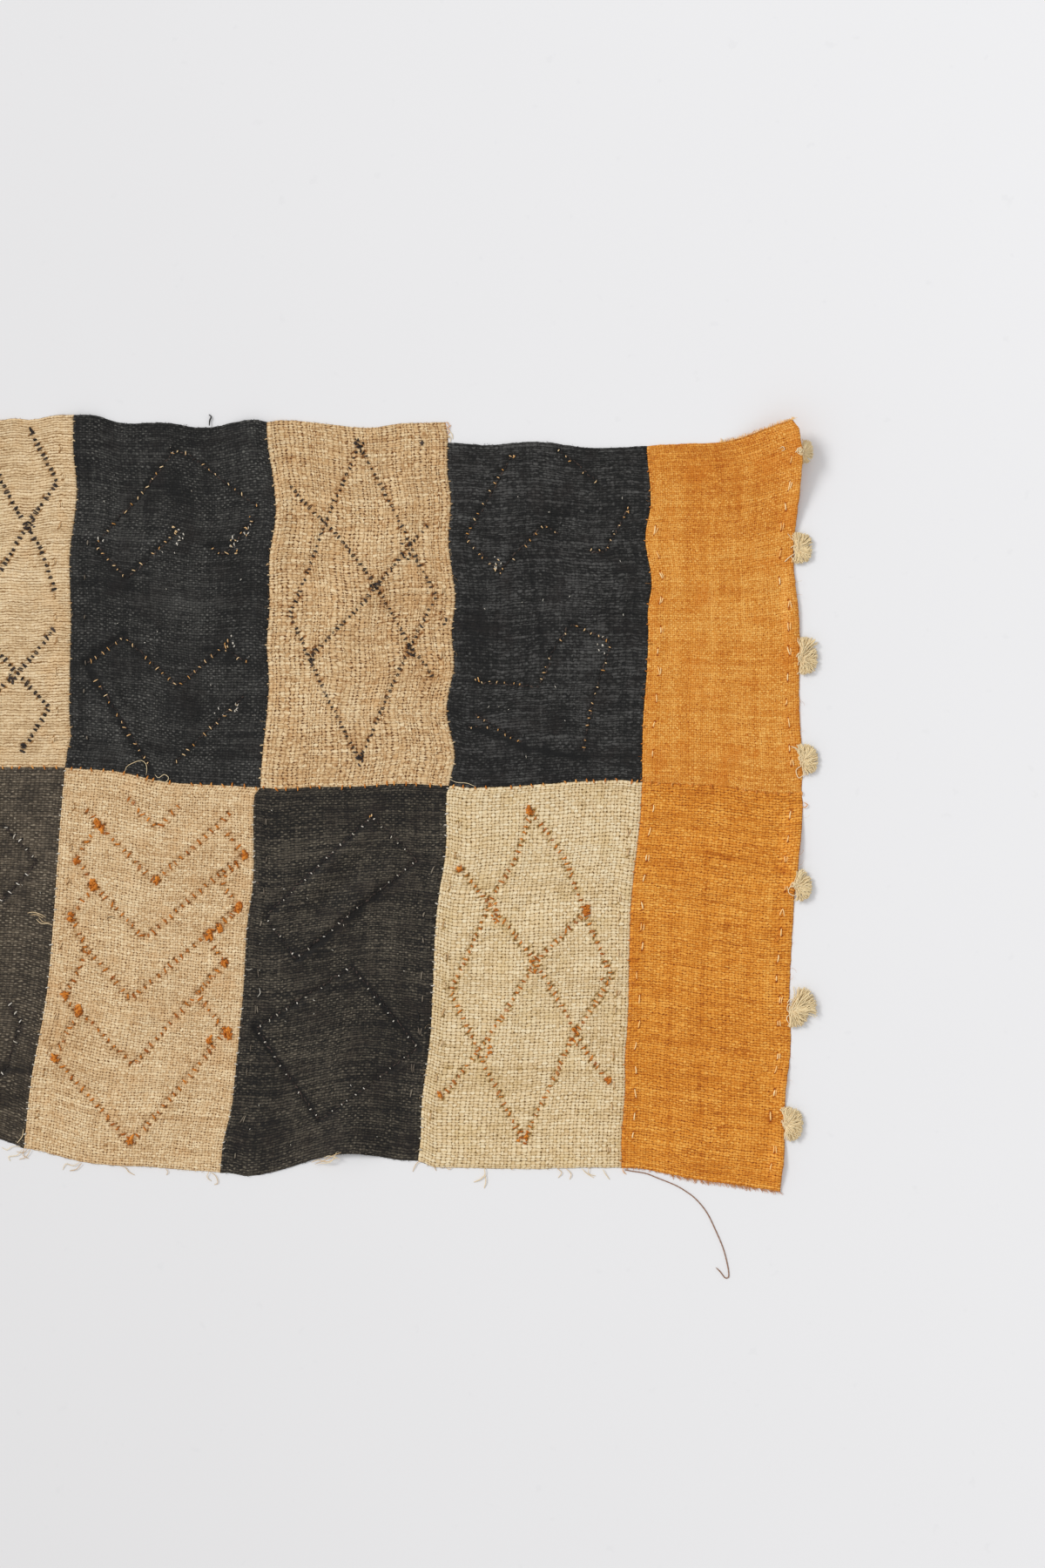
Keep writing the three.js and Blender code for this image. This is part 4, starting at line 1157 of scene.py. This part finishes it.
def stitch_places(lines, pitch, spread, rng, square=90.0):
    """Where stitches stand along lines of corners, and how each is turned."""
    places, headings = [], []
    for line in lines:
        for start, end in zip(line, line[1:]):
            start, end = np.array(start, float), np.array(end, float)
            way = end - start
            heading = math.atan2(-way[1], way[0])
            normal = np.array([math.sin(heading), math.cos(heading)])
            count = max(1, round(np.hypot(*way) / pitch))
            bow = rng.uniform(-2, 2)
            for i in range(count):
                share = (i + rng.uniform(0.32, 0.68)) / count
                off = bow * math.sin(math.pi * share) + rng.uniform(-0.7, 0.7)
                places.append(start + way * share + normal * off)
                headings.append(heading + math.radians(rng.normal(square, spread)))
    return np.array(places), np.array(headings)


def cluster(bundle, x, y, reach, count, rng, kind):
    """A tangle of short stitches: a knot that stands up, or a loose group."""
    knotted, small = kind == "knot", kind == "specks"
    turn = rng.uniform(0, 2 * math.pi, count)
    off = reach * np.sqrt(rng.uniform(0, 1, count)) * (0.62 if knotted else 1)
    places = np.stack([x + 0.7 * off * np.cos(turn), y + 1.3 * off * np.sin(turn)], axis=-1)
    if small:
        sew(bundle, places, rng.normal(math.pi / 2, 0.6, count), rng.uniform(1.6, 4.2, count),
            0.95, rng, ply=1)
    elif knotted:
        sew(bundle, places[::2], rng.uniform(0, math.pi, len(places[::2])),
            rng.uniform(4.5, 8.5, len(places[::2])), 2.1, rng, ply=1, rise=(1.4, 2.8))
        sew(bundle, places[1::3], rng.uniform(0, math.pi, len(places[1::3])),
            rng.uniform(3.5, 6.0, len(places[1::3])), 1.1, rng, ply=1, rise=(1.8, 3.0))
    else:
        sew(bundle, places, rng.uniform(0, math.pi, count), rng.uniform(3.0, 5.5, count),
            1.5, rng, ply=1)


extras = {panel["node"]: [] for panel in PANELS}
pricks = {panel["node"]: [] for panel in PANELS}


def attach(node, bundles, kind_of_piece):
    for kind, bundle in bundles.items():
        if bundle.count:
            material, slot = FIBRES[kind]
            extras[node].append(bundle.build(f"{node}_{kind}_{kind_of_piece}", material, slot))


def embroider(row, seed):
    """One panel's embroidery: stitches square to each line, and knots where they meet."""
    rng = np.random.default_rng(seed)
    node, lines = row["panel"], row["lines"]
    bundles = {row["thread"]: Bundle()}
    places, headings = stitch_places(lines, row["pitch"], row["spread"], rng)
    dark = "black" in node
    if dark:
        kept = rng.uniform(0, 1, len(places)) < KEPT
        places, headings = places[kept], headings[kept]
    lengths = row["stitch"] * rng.uniform(0.55, 1.25, len(places))
    sew(bundles[row["thread"]], places, headings, lengths, row["width"], rng, lines,
        ply=1 if dark else 2)
    if dark:
        sunk = bundles.setdefault(BLACK, Bundle())
        spots, turns = stitch_places(lines, SUNK["pitch"], SUNK["spread"], rng, square=0.0)
        sizes = SUNK["stitch"] * rng.uniform(0.6, 1.2, len(spots))
        sew(sunk, spots, turns, sizes, SUNK["width"], rng, lines, ply=1, rise=(0.4, 0.8))
    # needle holes at the stitches' ends, painted as shade in the cloth
    share = 0.85 if row["thread"] == RUST else 0.35
    for spots in tips(places, headings, lengths, 0.55):
        for spot in spots[rng.uniform(0, 1, len(spots)) < share]:
            pricks[node].append((*spot, rng.uniform(0.9, 1.5)))
    for owner, thread, x, y, reach, count in CLUSTERS:
        if owner == node:
            knotted = node == KNOTTED[0] or (node == KNOTTED[1] and reach < 7)
            kind = "specks" if thread in (WHITE, GOLD) else "knot" if knotted else "loose"
            cluster(bundles.setdefault(thread, Bundle()), x, y, reach, count, rng, kind)
    attach(node, bundles, "stitches")


for number, row in enumerate(EMBROIDERY):
    embroider(row, SEEDS["stitches"] + number)


# Running stitches that hold the hems: panel, thread, row and index of the seam beside them,
# how far to its right in pixels, from and to as shares, space between, and length
RUNNING = [
    ("upper_1_natural", TAN, "upper", 1, -17, 0.05, 0.95, 33, 7),
    ("upper_2_black", DUST, "upper", 1, 17, 0.3, 0.95, 44, 6),
    ("upper_3_natural", TAN, "upper", 3, -14, 0.08, 0.95, 36, 7),
    ("upper_5_orange", PEACH, "upper", 4, 13, 0.2, 0.98, 29, 9),
    ("upper_5_orange", PEACH, "upper", 5, -14.5, 0.08, 0.98, 27, 9),
    ("lower_2_natural", TAN, "lower", 1, 13, 0.08, 0.95, 38, 8),
    ("lower_3_black", DUST, "lower", 2, 14, 0.04, 0.95, 42, 10),
    ("lower_3_black", DUST, "lower", 3, -14, 0.2, 0.9, 36, 9),
    ("lower_4_pale", TAN, "lower", 3, 12, 0.08, 0.95, 36, 8),
    ("lower_4_pale", TAN, "lower", 4, -13, 0.08, 0.95, 36, 8),
    ("lower_5_orange", PEACH, "lower", 4, 12.5, 0.04, 0.98, 27, 9),
    ("lower_5_orange", PEACH, "lower", 5, -15, 0.03, 0.97, 27, 8.5),
]
SHARES = np.linspace(0, 1, 60)
# The share of them that are doubled, and how far apart such two are, in pixels
DOUBLED = dict(share=0.35, beside=2.4)


def along(edge, places):
    """Points that far along an edge given in pixels, and which way it runs there."""
    travelled = np.concatenate([[0], np.cumsum(np.hypot(*np.diff(edge, axis=0).T))])
    x, y = (np.interp(places, travelled, edge[:, axis]) for axis in (0, 1))
    back = [np.interp(places - 2, travelled, edge[:, axis]) for axis in (0, 1)]
    return np.stack([x, y], axis=-1), np.arctan2(-(y - back[1]), x - back[0])


def spaced(edge, pitch, rng, start=0.0, end=1.0):
    """Places about a pitch apart along an edge given in pixels, between two shares of it."""
    length = np.hypot(*np.diff(edge, axis=0).T).sum()
    places = np.arange(start * length + pitch * 0.5, end * length, pitch)
    return places + rng.uniform(-0.25, 0.25, len(places)) * pitch


def run_hem(node, row, index, inset, start, end, pitch, length, rng):
    """Long stitches beside a seam, some of them doubled."""
    edge = seen(seam(row, index, SHARES))
    spots, headings = along(edge, spaced(edge, pitch, rng, start, end))
    count = len(spots)
    spots = spots + np.stack([inset + rng.normal(0, 1.2, count), np.zeros(count)], axis=-1)
    headings = headings + rng.normal(0, 0.1, count)
    lengths = length * rng.uniform(0.75, 1.15, count)
    bundle = Bundle()
    sew(bundle, spots, headings, lengths, 1.1, rng, ply=1, rise=(1.0, 1.4), above=HEM["step"])
    doubled = rng.uniform(0, 1, count) < DOUBLED["share"]
    sew(bundle, spots[doubled] + (DOUBLED["beside"], 0), headings[doubled], lengths[doubled],
        0.9, rng, ply=1, rise=(0.9, 1.3), above=HEM["step"])
    # needle holes at the stitches' ends, painted as shade in the cloth
    for spot in np.concatenate(tips(spots, headings, lengths, 0.52)):
        pricks[node].append((*spot, 1.0))
    return bundle


rng = np.random.default_rng(SEEDS["hems"])
running = {}
for node, kind, *rest in RUNNING:
    running[node] = running.get(node, 0) + 1
    attach(node, {kind: run_hem(node, *rest, rng)}, f"hem_{running[node]}")

for number, panel in enumerate(PANELS):
    add_panel(panel, pricks[panel["node"]], SEEDS["cloth"] + 7 * number)


# Seams: whipstitches over the butted edges, wider apart along the orange border by last;
# pitch and reach in pixels
WHIP = dict(pitch=13.0, last=1.5, reach=3.7, middle_pitch=12.5, middle_reach=4.4)


def whip(bundle, edge, pitch, reach, rng, width=1.0, skip=0.06):
    """Stitches laid across an edge, given as photograph pixels."""
    places = spaced(edge, pitch, rng)
    places = places[rng.uniform(0, 1, len(places)) > skip]
    spots, headings = along(edge, places)
    count = len(places)
    sew(bundle, spots + rng.normal(0, 0.5, (count, 2)),
        headings + math.pi / 2 + rng.normal(0.12, 0.26, count),
        reach * rng.uniform(0.75, 1.35, count), width, rng, ply=1, rise=(1.0, 1.5),
        above=HEM["step"])


rng = np.random.default_rng(SEEDS["seams"])
for panel in PANELS:
    row, index = panel["row"], panel["column"]
    if index > 0:
        bundle, last = Bundle(), index == COLUMNS - 1
        pitch = WHIP["pitch"] * (WHIP["last"] if last else 1)
        whip(bundle, seen(seam(row, index, SHARES)), pitch, WHIP["reach"], rng)
        kind = ORANGE if last else TAN if row == "upper" else WHITE
        attach(panel["node"], {kind: bundle}, "whipped_side")
for panel in PANELS[COLUMNS:]:
    bundle = Bundle()
    edge = seen(level_edge("middle", panel["column"], SHARES))
    whip(bundle, edge, WHIP["middle_pitch"], WHIP["middle_reach"], rng, width=1.25)
    attach(panel["node"], {ORANGE: bundle}, "whipped_head")


# Frayed edges: panel, kind, which edge, from and to as shares, how many ends, heading and
# spread in degrees, and length in pixels
FRAYS = [
    ("upper_5_orange", PEACH, "head", 0.5, 1.0, 170, 72, 38, 4.0),
    ("upper_5_orange", ORANGE, "head", 0.55, 1.0, 60, 75, 45, 3.6),
    ("upper_5_orange", PEACH, "head", 0.93, 1.0, 34, 30, 50, 5.0),
    ("lower_5_orange", ORANGE, "foot", 0.02, 0.3, 40, -78, 22, 2.6),
    ("lower_5_orange", ORANGE, "foot", 0.3, 1.0, 190, -66, 24, 4.6),
    ("lower_4_pale", TAN, "foot", 0.03, 0.97, 40, -80, 90, 1.6),
    ("lower_2_natural", TAN, "foot", 0.03, 0.97, 40, -80, 90, 1.6),
    ("upper_3_natural", TAN, "head", 0.03, 0.97, 40, 90, 100, 1.2),
    ("upper_1_natural", TAN, "head", 0.03, 0.97, 30, 90, 100, 1.2),
    ("upper_2_black", SOOT, "head", 0.03, 0.97, 40, 90, 100, 1.3),
    ("upper_4_black", SOOT, "head", 0.03, 0.97, 40, 90, 100, 1.2),
    ("lower_3_black", SOOT, "foot", 0.03, 0.97, 34, -90, 100, 1.5),
    ("lower_1_black", SOOT, "foot", 0.03, 0.97, 30, -90, 100, 1.6),
]


def fray(node, edge_name, start, end, count, heading, spread, length, rng):
    """Ends of yarn that stick out of a panel's head or foot, bent a little."""
    panel = next(p for p in PANELS if p["node"] == node)
    level = (HEAD if edge_name == "head" else FOOT)[panel["row"]]
    share = np.sort(rng.uniform(start, end, count))
    x, y = in_pixels(*level_edge(level, panel["column"], share).T)
    turn = np.radians(heading + rng.normal(0, spread * 0.5, count))[:, None]
    reach = length * rng.uniform(0.45, 1.3, count)[:, None]
    step = np.linspace(0, 1, 5)[None]
    bend = rng.normal(0, 0.35, (count, 1)) * step
    base = lift(*in_sheet(x, y))[:, None]
    x = x[:, None] + np.cos(turn + bend) * (reach * step - 1.2)
    y = y[:, None] - np.sin(turn + bend) * (reach * step - 1.2)
    z = base + 1.1 * (1 - step) + 0.3 + rng.uniform(0, 0.7, (count, 1)) * np.sin(math.pi * step)
    radii = rng.uniform(0.16, 0.34, (count, 1)) * MM * (1 - 0.6 * step)
    bundle = Bundle()
    bundle.add(lay(x, y, z), radii, 3, rng.uniform(0, 1, count))
    return bundle


rng = np.random.default_rng(SEEDS["frays"])
for number, (node, kind, *rest) in enumerate(FRAYS, 1):
    attach(node, {kind: fray(node, *rest, rng)}, f"fray_{number}")


# Loose ends, in photograph pixels: panel, kind, width in millimetres, whether they run onto
# the floor, and points
STRAYS = [
    ("upper_2_black", SOOT, 1.5, True, [(240.5, 489), (241, 483), (242.5, 478.5), (240, 476)]),
    ("upper_3_natural", ORANGE, 0.7, True, [(511, 488), (515, 491), (518, 488)]),
    ("upper_3_natural", ORANGE, 0.7, True, [(511, 491), (516, 494), (514, 499)]),
    ("upper_3_natural", ORANGE, 0.6, True, [(510, 487), (514, 485), (516, 490)]),
    ("upper_3_natural", CREAM, 0.7, True, [(512, 494), (518, 497), (520, 504)]),
    ("upper_3_natural", CREAM, 0.6, True, [(512, 498), (517, 502), (517, 508)]),
    ("upper_2_black", CREAM, 0.6, False,
     [(143, 888), (146, 880), (153, 876), (163, 873), (168, 877), (169, 884), (168, 890)]),
    ("upper_2_black", CREAM, 0.6, False,
     [(178, 889), (182, 893), (189, 889), (194, 893), (190, 898), (182, 896)]),
    ("upper_4_black", CREAM, 0.55, False, [(514, 893), (524, 898), (536, 899), (546, 903)]),
    ("lower_1_black", TAN, 0.8, False, [(32, 1048), (38, 1047), (46, 1049), (53, 1053)]),
    ("lower_1_black", TAN, 0.7, False, [(36, 1050), (43, 1050), (50, 1054)]),
    ("lower_1_black", TAN, 0.8, False, [(42, 1055), (48, 1060), (55, 1060), (61, 1062)]),
    ("lower_1_black", TAN, 0.6, False, [(45, 1053), (50, 1058), (58, 1059)]),
    ("lower_1_black", TAN, 0.8, False, [(27, 1296), (26, 1304), (20, 1312)]),
    ("lower_1_black", CREAM, 0.6, True, [(24, 1316), (14, 1316), (8, 1320), (2, 1317)]),
    ("lower_1_black", CREAM, 0.6, True, [(26, 1319), (20, 1326), (10, 1328), (12, 1333)]),
    ("lower_1_black", TAN, 0.6, True, [(28, 1318), (27, 1326), (33, 1330)]),
    ("lower_2_natural", TAN, 0.7, True, [(92, 1334), (84, 1338), (76, 1336), (72, 1343)]),
    ("lower_2_natural", TAN, 0.7, True, [(94, 1335), (88, 1342), (80, 1344)]),
    ("lower_2_natural", TAN, 0.6, True, [(33, 1318), (27, 1323), (19, 1322)]),
    ("lower_2_natural", TAN, 0.6, True, [(36, 1319), (30, 1328), (22, 1331)]),
    ("lower_2_natural", TAN, 0.7, True, [(138, 1338), (144, 1340), (148, 1345), (155, 1349)]),
    ("lower_2_natural", TAN, 0.6, True, [(190, 1341), (193, 1345), (191, 1349)]),
    ("lower_2_natural", TAN, 0.7, True, [(242, 1345), (248, 1350), (250, 1358), (246, 1360)]),
    ("lower_2_natural", TAN, 0.6, True, [(240, 1345), (238, 1351), (243, 1356)]),
    ("lower_3_black", TAN, 0.8, False, [(358, 1334), (366, 1331), (376, 1333), (388, 1327)]),
    ("lower_3_black", TAN, 0.8, False, [(362, 1336), (372, 1332), (384, 1325), (392, 1322)]),
    ("lower_3_black", CREAM, 0.7, False, [(368, 1335), (380, 1333), (387, 1322)]),
    ("lower_3_black", CREAM, 0.6, False, [(372, 1329), (378, 1326), (391, 1330)]),
    ("lower_4_pale", TAN, 0.7, True, [(487, 1333), (480, 1334), (476, 1340), (474, 1345)]),
    ("lower_4_pale", TAN, 0.7, True, [(492, 1334), (498, 1338), (501, 1344)]),
    ("lower_4_pale", TAN, 0.9, True, [(556, 1341), (557, 1348), (551, 1354), (544, 1357)]),
    ("lower_4_pale", TAN, 0.8, True, [(557, 1348), (558, 1356), (556, 1364)]),
    ("lower_4_pale", TAN, 0.7, True, [(640, 1341), (645, 1346), (641, 1352)]),
    ("lower_4_pale", TAN, 0.7, True, [(650, 1341), (656, 1348), (654, 1354)]),
    ("lower_4_pale", TAN, 0.7, True, [(668, 1341), (674, 1347), (682, 1352)]),
    ("lower_4_pale", TAN, 0.6, True, [(676, 1341), (676, 1347), (684, 1350)]),
    ("lower_4_pale", TAN, 0.7, True, [(692, 1342), (697, 1350), (700, 1354)]),
    ("lower_4_pale", TAN, 0.7, True, [(520, 1336), (516, 1342), (512, 1340)]),
    ("lower_5_orange", ORANGE, 0.8, True, [(715, 1340), (716, 1345), (719, 1348)]),
    ("lower_5_orange", ORANGE, 0.9, False, [(919, 922), (923, 927), (927, 924), (923, 921)]),
    ("lower_5_orange", RUST, 1.2, False, [(889, 1077), (892, 1080), (894, 1077), (891, 1075)]),
    ("upper_5_orange", CREAM, 0.8, False, [(894, 517), (897, 515), (899, 518), (896, 520)]),
    ("lower_2_natural", SOOT, 0.5, False, [(123, 1056), (125, 1053), (131, 1052)]),
    ("lower_2_natural", TAN, 0.7, False, [(142, 921), (146, 915), (147, 909)]),
    ("lower_3_black", WHITE, 0.7, False, [(296, 1144), (299, 1140), (298, 1134)]),
    ("lower_3_black", WHITE, 0.7, False, [(282, 1112), (286, 1113), (290, 1112)]),
    ("lower_3_black", SOOT, 0.9, False, [(479, 1160), (481, 1167), (480, 1173)]),
]
LINT = dict(count=16, length=2.6, width=0.5)


def add_strays(rng):
    bundles = {}
    for node, kind, width, falls, points in STRAYS:
        x, y = spline(points, 14).T
        if falls:
            share = np.linspace(0, 1, 14)
            z = 1.2 * (1 - smooth(share * 2)) + width / 2 + 0.8 * np.sin(math.pi * share)
            z = z + lift(*in_sheet(x[:1], y[:1])) * (1 - smooth(share * 1.5))
        else:
            z = surface(*in_sheet(x, y)) + 0.45 + 0.5 * np.sin(np.linspace(0, math.pi, 14))
        bundle = bundles.setdefault(node, {}).setdefault(kind, Bundle())
        radii = taper(14, width / 2 * MM, 0.5)
        bundle.add(lay(x, y, z)[None], radii[None], 5, [rng.uniform(0.3, 1)])
    for panel in PANELS:
        if "black" in panel["node"]:
            u, v = rng.uniform(0.05, 0.95, (2, LINT["count"]))
            x, y = panel_points(panel, u, v)
            spots = np.stack(in_pixels(np.diag(x), np.diag(y)), axis=-1)
            bundle = bundles.setdefault(panel["node"], {}).setdefault(WHITE, Bundle())
            sew(bundle, spots, rng.uniform(0, math.pi, len(spots)),
                LINT["length"] * rng.uniform(0.5, 1.3, len(spots)), LINT["width"], rng, ply=1)
    for node, by_kind in bundles.items():
        attach(node, by_kind, "loose_ends")


add_strays(np.random.default_rng(SEEDS["strays"]))


# Fuzz: fine hairs that stand off the cloth, most of them near its edges
HAIRS = dict(count=110, length=5.0, radius=0.11)
HAIR_KINDS = {"natural": TAN, "pale": TAN, "black": SOOT, "orange": ORANGE}


def add_hairs(panel, rng):
    count = HAIRS["count"]
    u, v = rng.uniform(0.01, 0.99, (2, count))
    at_side = rng.uniform(0, 1, count) < 0.6
    near = rng.uniform(0, 0.012, count)
    u = np.where(at_side, np.where(rng.uniform(0, 1, count) < 0.5, near, 1 - near), u)
    x, y = (np.diag(grid) for grid in panel_points(panel, u, v))
    step = np.linspace(0, 1, 5)[None]
    turn = rng.uniform(0, 2 * math.pi, (count, 1)) + rng.normal(0, 0.8, (count, 1)) * step
    reach = HAIRS["length"] * rng.uniform(0.4, 1.4, (count, 1)) * step
    base = surface(x, y)[:, None] - 0.2
    rise = rng.uniform(0.4, 2.0, (count, 1)) * np.sin(math.pi * 0.7 * step)
    points = in_frame(x[:, None] + reach * np.cos(turn), y[:, None] + reach * np.sin(turn),
                      base + rise)
    bundle = Bundle()
    radii = HAIRS["radius"] * MM * rng.uniform(0.6, 1.3, (count, 1)) * (1 - 0.5 * step)
    bundle.add(points, radii, 3, rng.uniform(0.2, 1, count))
    attach(panel["node"], {HAIR_KINDS[panel["colour"]]: bundle}, "hairs")


rng = np.random.default_rng(SEEDS["hairs"])
for panel in PANELS:
    add_hairs(panel, rng)


# Pompoms: the tie in photograph pixels; lobes of yarn as heading and spread in degrees, reach
# in millimetres and number of yarns; and stray yarns through points in pixels
POMPOMS = [
    dict(tie=(918, 520), lobes=[(-6, 78, 11.5, 150)],
         strays=[[(918, 518), (914, 519), (911, 522)]]),
    dict(tie=(915, 630), lobes=[(64, 40, 15, 105), (-50, 50, 14, 105), (5, 40, 11.5, 60)],
         strays=[[(913, 635), (906, 640), (901, 645)], [(908, 639), (911, 643), (914, 648)],
                 [(915, 628), (911, 627), (908, 629)]]),
    dict(tie=(920, 756), lobes=[(76, 20, 20, 75), (-28, 64, 15, 135)],
         strays=[[(922, 752), (917, 750), (914, 754)], [(922, 757), (917, 760), (916, 764)]]),
    dict(tie=(921, 872), lobes=[(20, 98, 14.5, 200)],
         strays=[[(922, 878), (914, 884), (917, 893), (923, 889)]]),
    dict(tie=(914, 1017), lobes=[(-15, 62, 14.5, 140), (75, 12, 16, 26)],
         strays=[[(915, 1018), (907, 1018), (905, 1024), (911, 1028), (916, 1024)],
                 [(914, 1016), (909, 1014), (907, 1018)]]),
    dict(tie=(909, 1160), lobes=[(35, 36, 23, 120), (-20, 82, 15.5, 150)],
         strays=[[(912, 1152), (905, 1153), (904, 1160), (910, 1163)],
                 [(909, 1163), (903, 1168), (907, 1175), (914, 1171)],
                 [(912, 1150), (907, 1147), (904, 1151)]]),
    dict(tie=(902, 1290), lobes=[(10, 95, 16, 210)],
         strays=[[(903, 1288), (899, 1289), (899, 1293)]]),
]


def add_pompom(number, spec, seed):
    """Tied yarns that fan out over the floor from the edge, curled and cut blunt."""
    rng = np.random.default_rng(seed)
    x0, y0 = in_sheet(*spec["tie"])
    hang = float(lift(np.array([x0 - 2]), np.array([y0]))[0])
    share = np.linspace(0, 1, 8)[None]
    bundle = Bundle()
    for heading, spread, reach, count in spec["lobes"]:
        fan = (np.arange(count) + rng.uniform(0, 1, count)) / count * 2 - 1
        turn = np.radians(heading + spread * fan)[:, None] + rng.normal(0, 0.16, (count, 1)) * share
        rise = np.radians(rng.uniform(0, 1, (count, 1)) ** 1.4 * 46) * (1 - 0.6 * share)
        squared = (np.cos(turn) ** 4 + np.sin(turn) ** 4) ** -0.12
        out = reach * squared * rng.uniform(0.88, 1.03, (count, 1)) * share
        lock = np.arange(count) // 7
        phase = rng.uniform(0, 2 * math.pi, (count, 1))[lock] + rng.normal(0, 0.4, (count, 1))
        beat = rng.uniform(7, 12, (count, 1))[lock]
        curl = 0.85 * np.sin(beat * share + phase) * share ** 0.5
        start = rng.normal(0, 1.0, (2, count, 1)) * (1 - share)
        x = x0 + start[0] + out * np.cos(rise) * np.cos(turn) - curl * np.sin(turn)
        y = y0 + start[1] * 1.6 + out * np.cos(rise) * np.sin(turn) + curl * np.cos(turn)
        z = 1.2 + rng.uniform(0, 1.2, (count, 1)) + out * np.sin(rise) * (1 - 0.3 * share)
        z = z + 0.3 * np.cos(beat * share + phase) + hang * (1 - 0.5 * share)
        points = in_frame(x, y, np.maximum(z, 0.6))
        radii = rng.uniform(0.32, 0.5, (count, 1)) * MM * np.ones_like(share)
        radii = radii * np.where(share > 0.95, 0.85, 1)
        bundle.add(points, radii, 4, rng.uniform(0, 1, count))
    knots = 12
    turn, ring = rng.uniform(0, 2 * math.pi, (knots, 1)), np.linspace(0, 1.7 * math.pi, 9)[None]
    size = rng.uniform(0.8, 2.0, (knots, 1))
    points = in_frame(
        x0 + rng.normal(-0.6, 1.1, (knots, 1)) + size * np.cos(ring + turn),
        y0 + rng.normal(0, 1.5, (knots, 1)) + 1.3 * size * np.sin(ring + turn),
        2.4 + hang + rng.uniform(0, 1.4, (knots, 1)) + 0.8 * np.sin(ring))
    bundle.add(points, 0.34 * MM, 4, rng.uniform(0.75, 1, knots))
    for route in spec["strays"]:
        x, y = spline(route, 12).T
        across, up = in_sheet(x, y)
        z = surface(across, up) + 0.7 + 0.8 * np.sin(np.linspace(0, math.pi, 12))
        bundle.add(lay(x, y, z)[None], 0.42 * MM, 5, [0.9])
    material, slot = FIBRES[CREAM]
    piece = bundle.build(f"pompom_{number}_tuft", material, slot)
    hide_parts(f"pompom_{number}")


for number, spec in enumerate(POMPOMS, 1):
    add_pompom(number, spec, SEEDS["pompoms"] + number)


# Loose thread, on the same route as its solid: x, y and z in sheet millimetres
THREAD_DIAMETER = 1.0
THREAD_ROUTE = [
    (574.4, -354.2, 0.75), (577.4, -354.9, 0.62), (580.6, -355.5, 0.52), (587, -356.4, 0.52),
    (593.6, -357.7, 0.52), (605.6, -362.4, 0.52), (621.2, -368.8, 0.52),
    (629.8, -373.9, 0.52), (638.4, -380.4, 0.52), (648.8, -392.8, 0.52),
    (657.6, -410.4, 0.52), (664, -425.6, 0.52), (667.2, -436.8, 0.52), (669.4, -449, 0.52),
    (669, -453, 0.52), (666.4, -453.6, 0.52), (664.4, -451.6, 0.52), (661.4, -447.6, 0.52),
    (657.6, -444, 0.52),
]


def add_thread():
    path = in_frame(*spline(THREAD_ROUTE, 150).T)
    bundle = Bundle()
    radius = np.full((1, len(path)), THREAD_DIAMETER / 2 * MM)
    radius *= 1 + 0.12 * np.sin(np.arange(len(path)) * 1.9)
    radius[0, -4:] *= (0.9, 0.75, 0.55, 0.25)
    bundle.add(path[None], radius, 7, [0.5])
    material = fibre("brown_thread", (118, 80, 58), (176, 132, 100))
    piece = bundle.build("loose_thread_tail", material, "brown_thread")
    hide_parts("loose_thread")


add_thread()


# Floor, painted with faint specks and with painted light, shaded to the left and foot and lit to the right
# and head; and light
FLOOR_HALF = 80.0
FLOOR = dict(shaded=(223, 222, 222), lit=(241, 241, 242), speck=(206, 206, 208), specks=0.1)
KEY = dict(toward=(-0.86, 0.5), elevation=40, strength=1.47, angle=0.32)
SKY = dict(colour=(0.99, 0.99, 1.0, 1.0), strength=0.7)


def add_floor():
    half = FLOOR_HALF
    points = [(-half, -half, 0), (half, -half, 0), (half, half, 0), (-half, half, 0)]
    g = Graph("floor_paint")
    place = g.place()
    x, y, _ = g.split(place)
    cloud = g.noise(place, 1.4, detail=4.0)
    speck = g.ramp(g.noise(place, 55.0, detail=3.0), 0.66, 0.74)
    # painted light: lighter towards the right and the head, darker towards the left and the foot, with
    # soft clouds
    share = g.math("ADD", g.add(g.times(x, 0.5), g.times(y, 0.2), 0.48),
                   g.centred(cloud, 0.12), clamp=True)
    body = g.colour(share, FLOOR["shaded"], FLOOR["lit"])
    body = g.colour(g.times(speck, FLOOR["specks"]), body, FLOOR["speck"])
    g.shade(Base_Color=body, Roughness=0.7, Specular_IOR_Level=0.2)
    new_object("floor", points, [np.array([[0, 1, 2, 3]])], g.material)


def add_key():
    x, y = KEY["toward"]
    low = math.cos(math.radians(KEY["elevation"])) / math.hypot(x, y)
    light_from = Vector((x * low, y * low, math.sin(math.radians(KEY["elevation"]))))
    data = bpy.data.lights.new("key", "SUN")
    data.energy = KEY["strength"]
    data.angle = KEY["angle"]
    light = bpy.data.objects.new("key", data)
    bpy.context.collection.objects.link(light)
    light.location = light_from * 3
    light.rotation_euler = (-light_from).to_track_quat("-Z", "Y").to_euler()


add_floor()
add_key()

world = bpy.data.worlds.new("studio")
world.use_nodes = True
background = world.node_tree.nodes["Background"]
background.inputs["Color"].default_value = SKY["colour"]
background.inputs["Strength"].default_value = SKY["strength"]
bpy.context.scene.world = world
bpy.context.scene.view_settings.view_transform = "Standard"
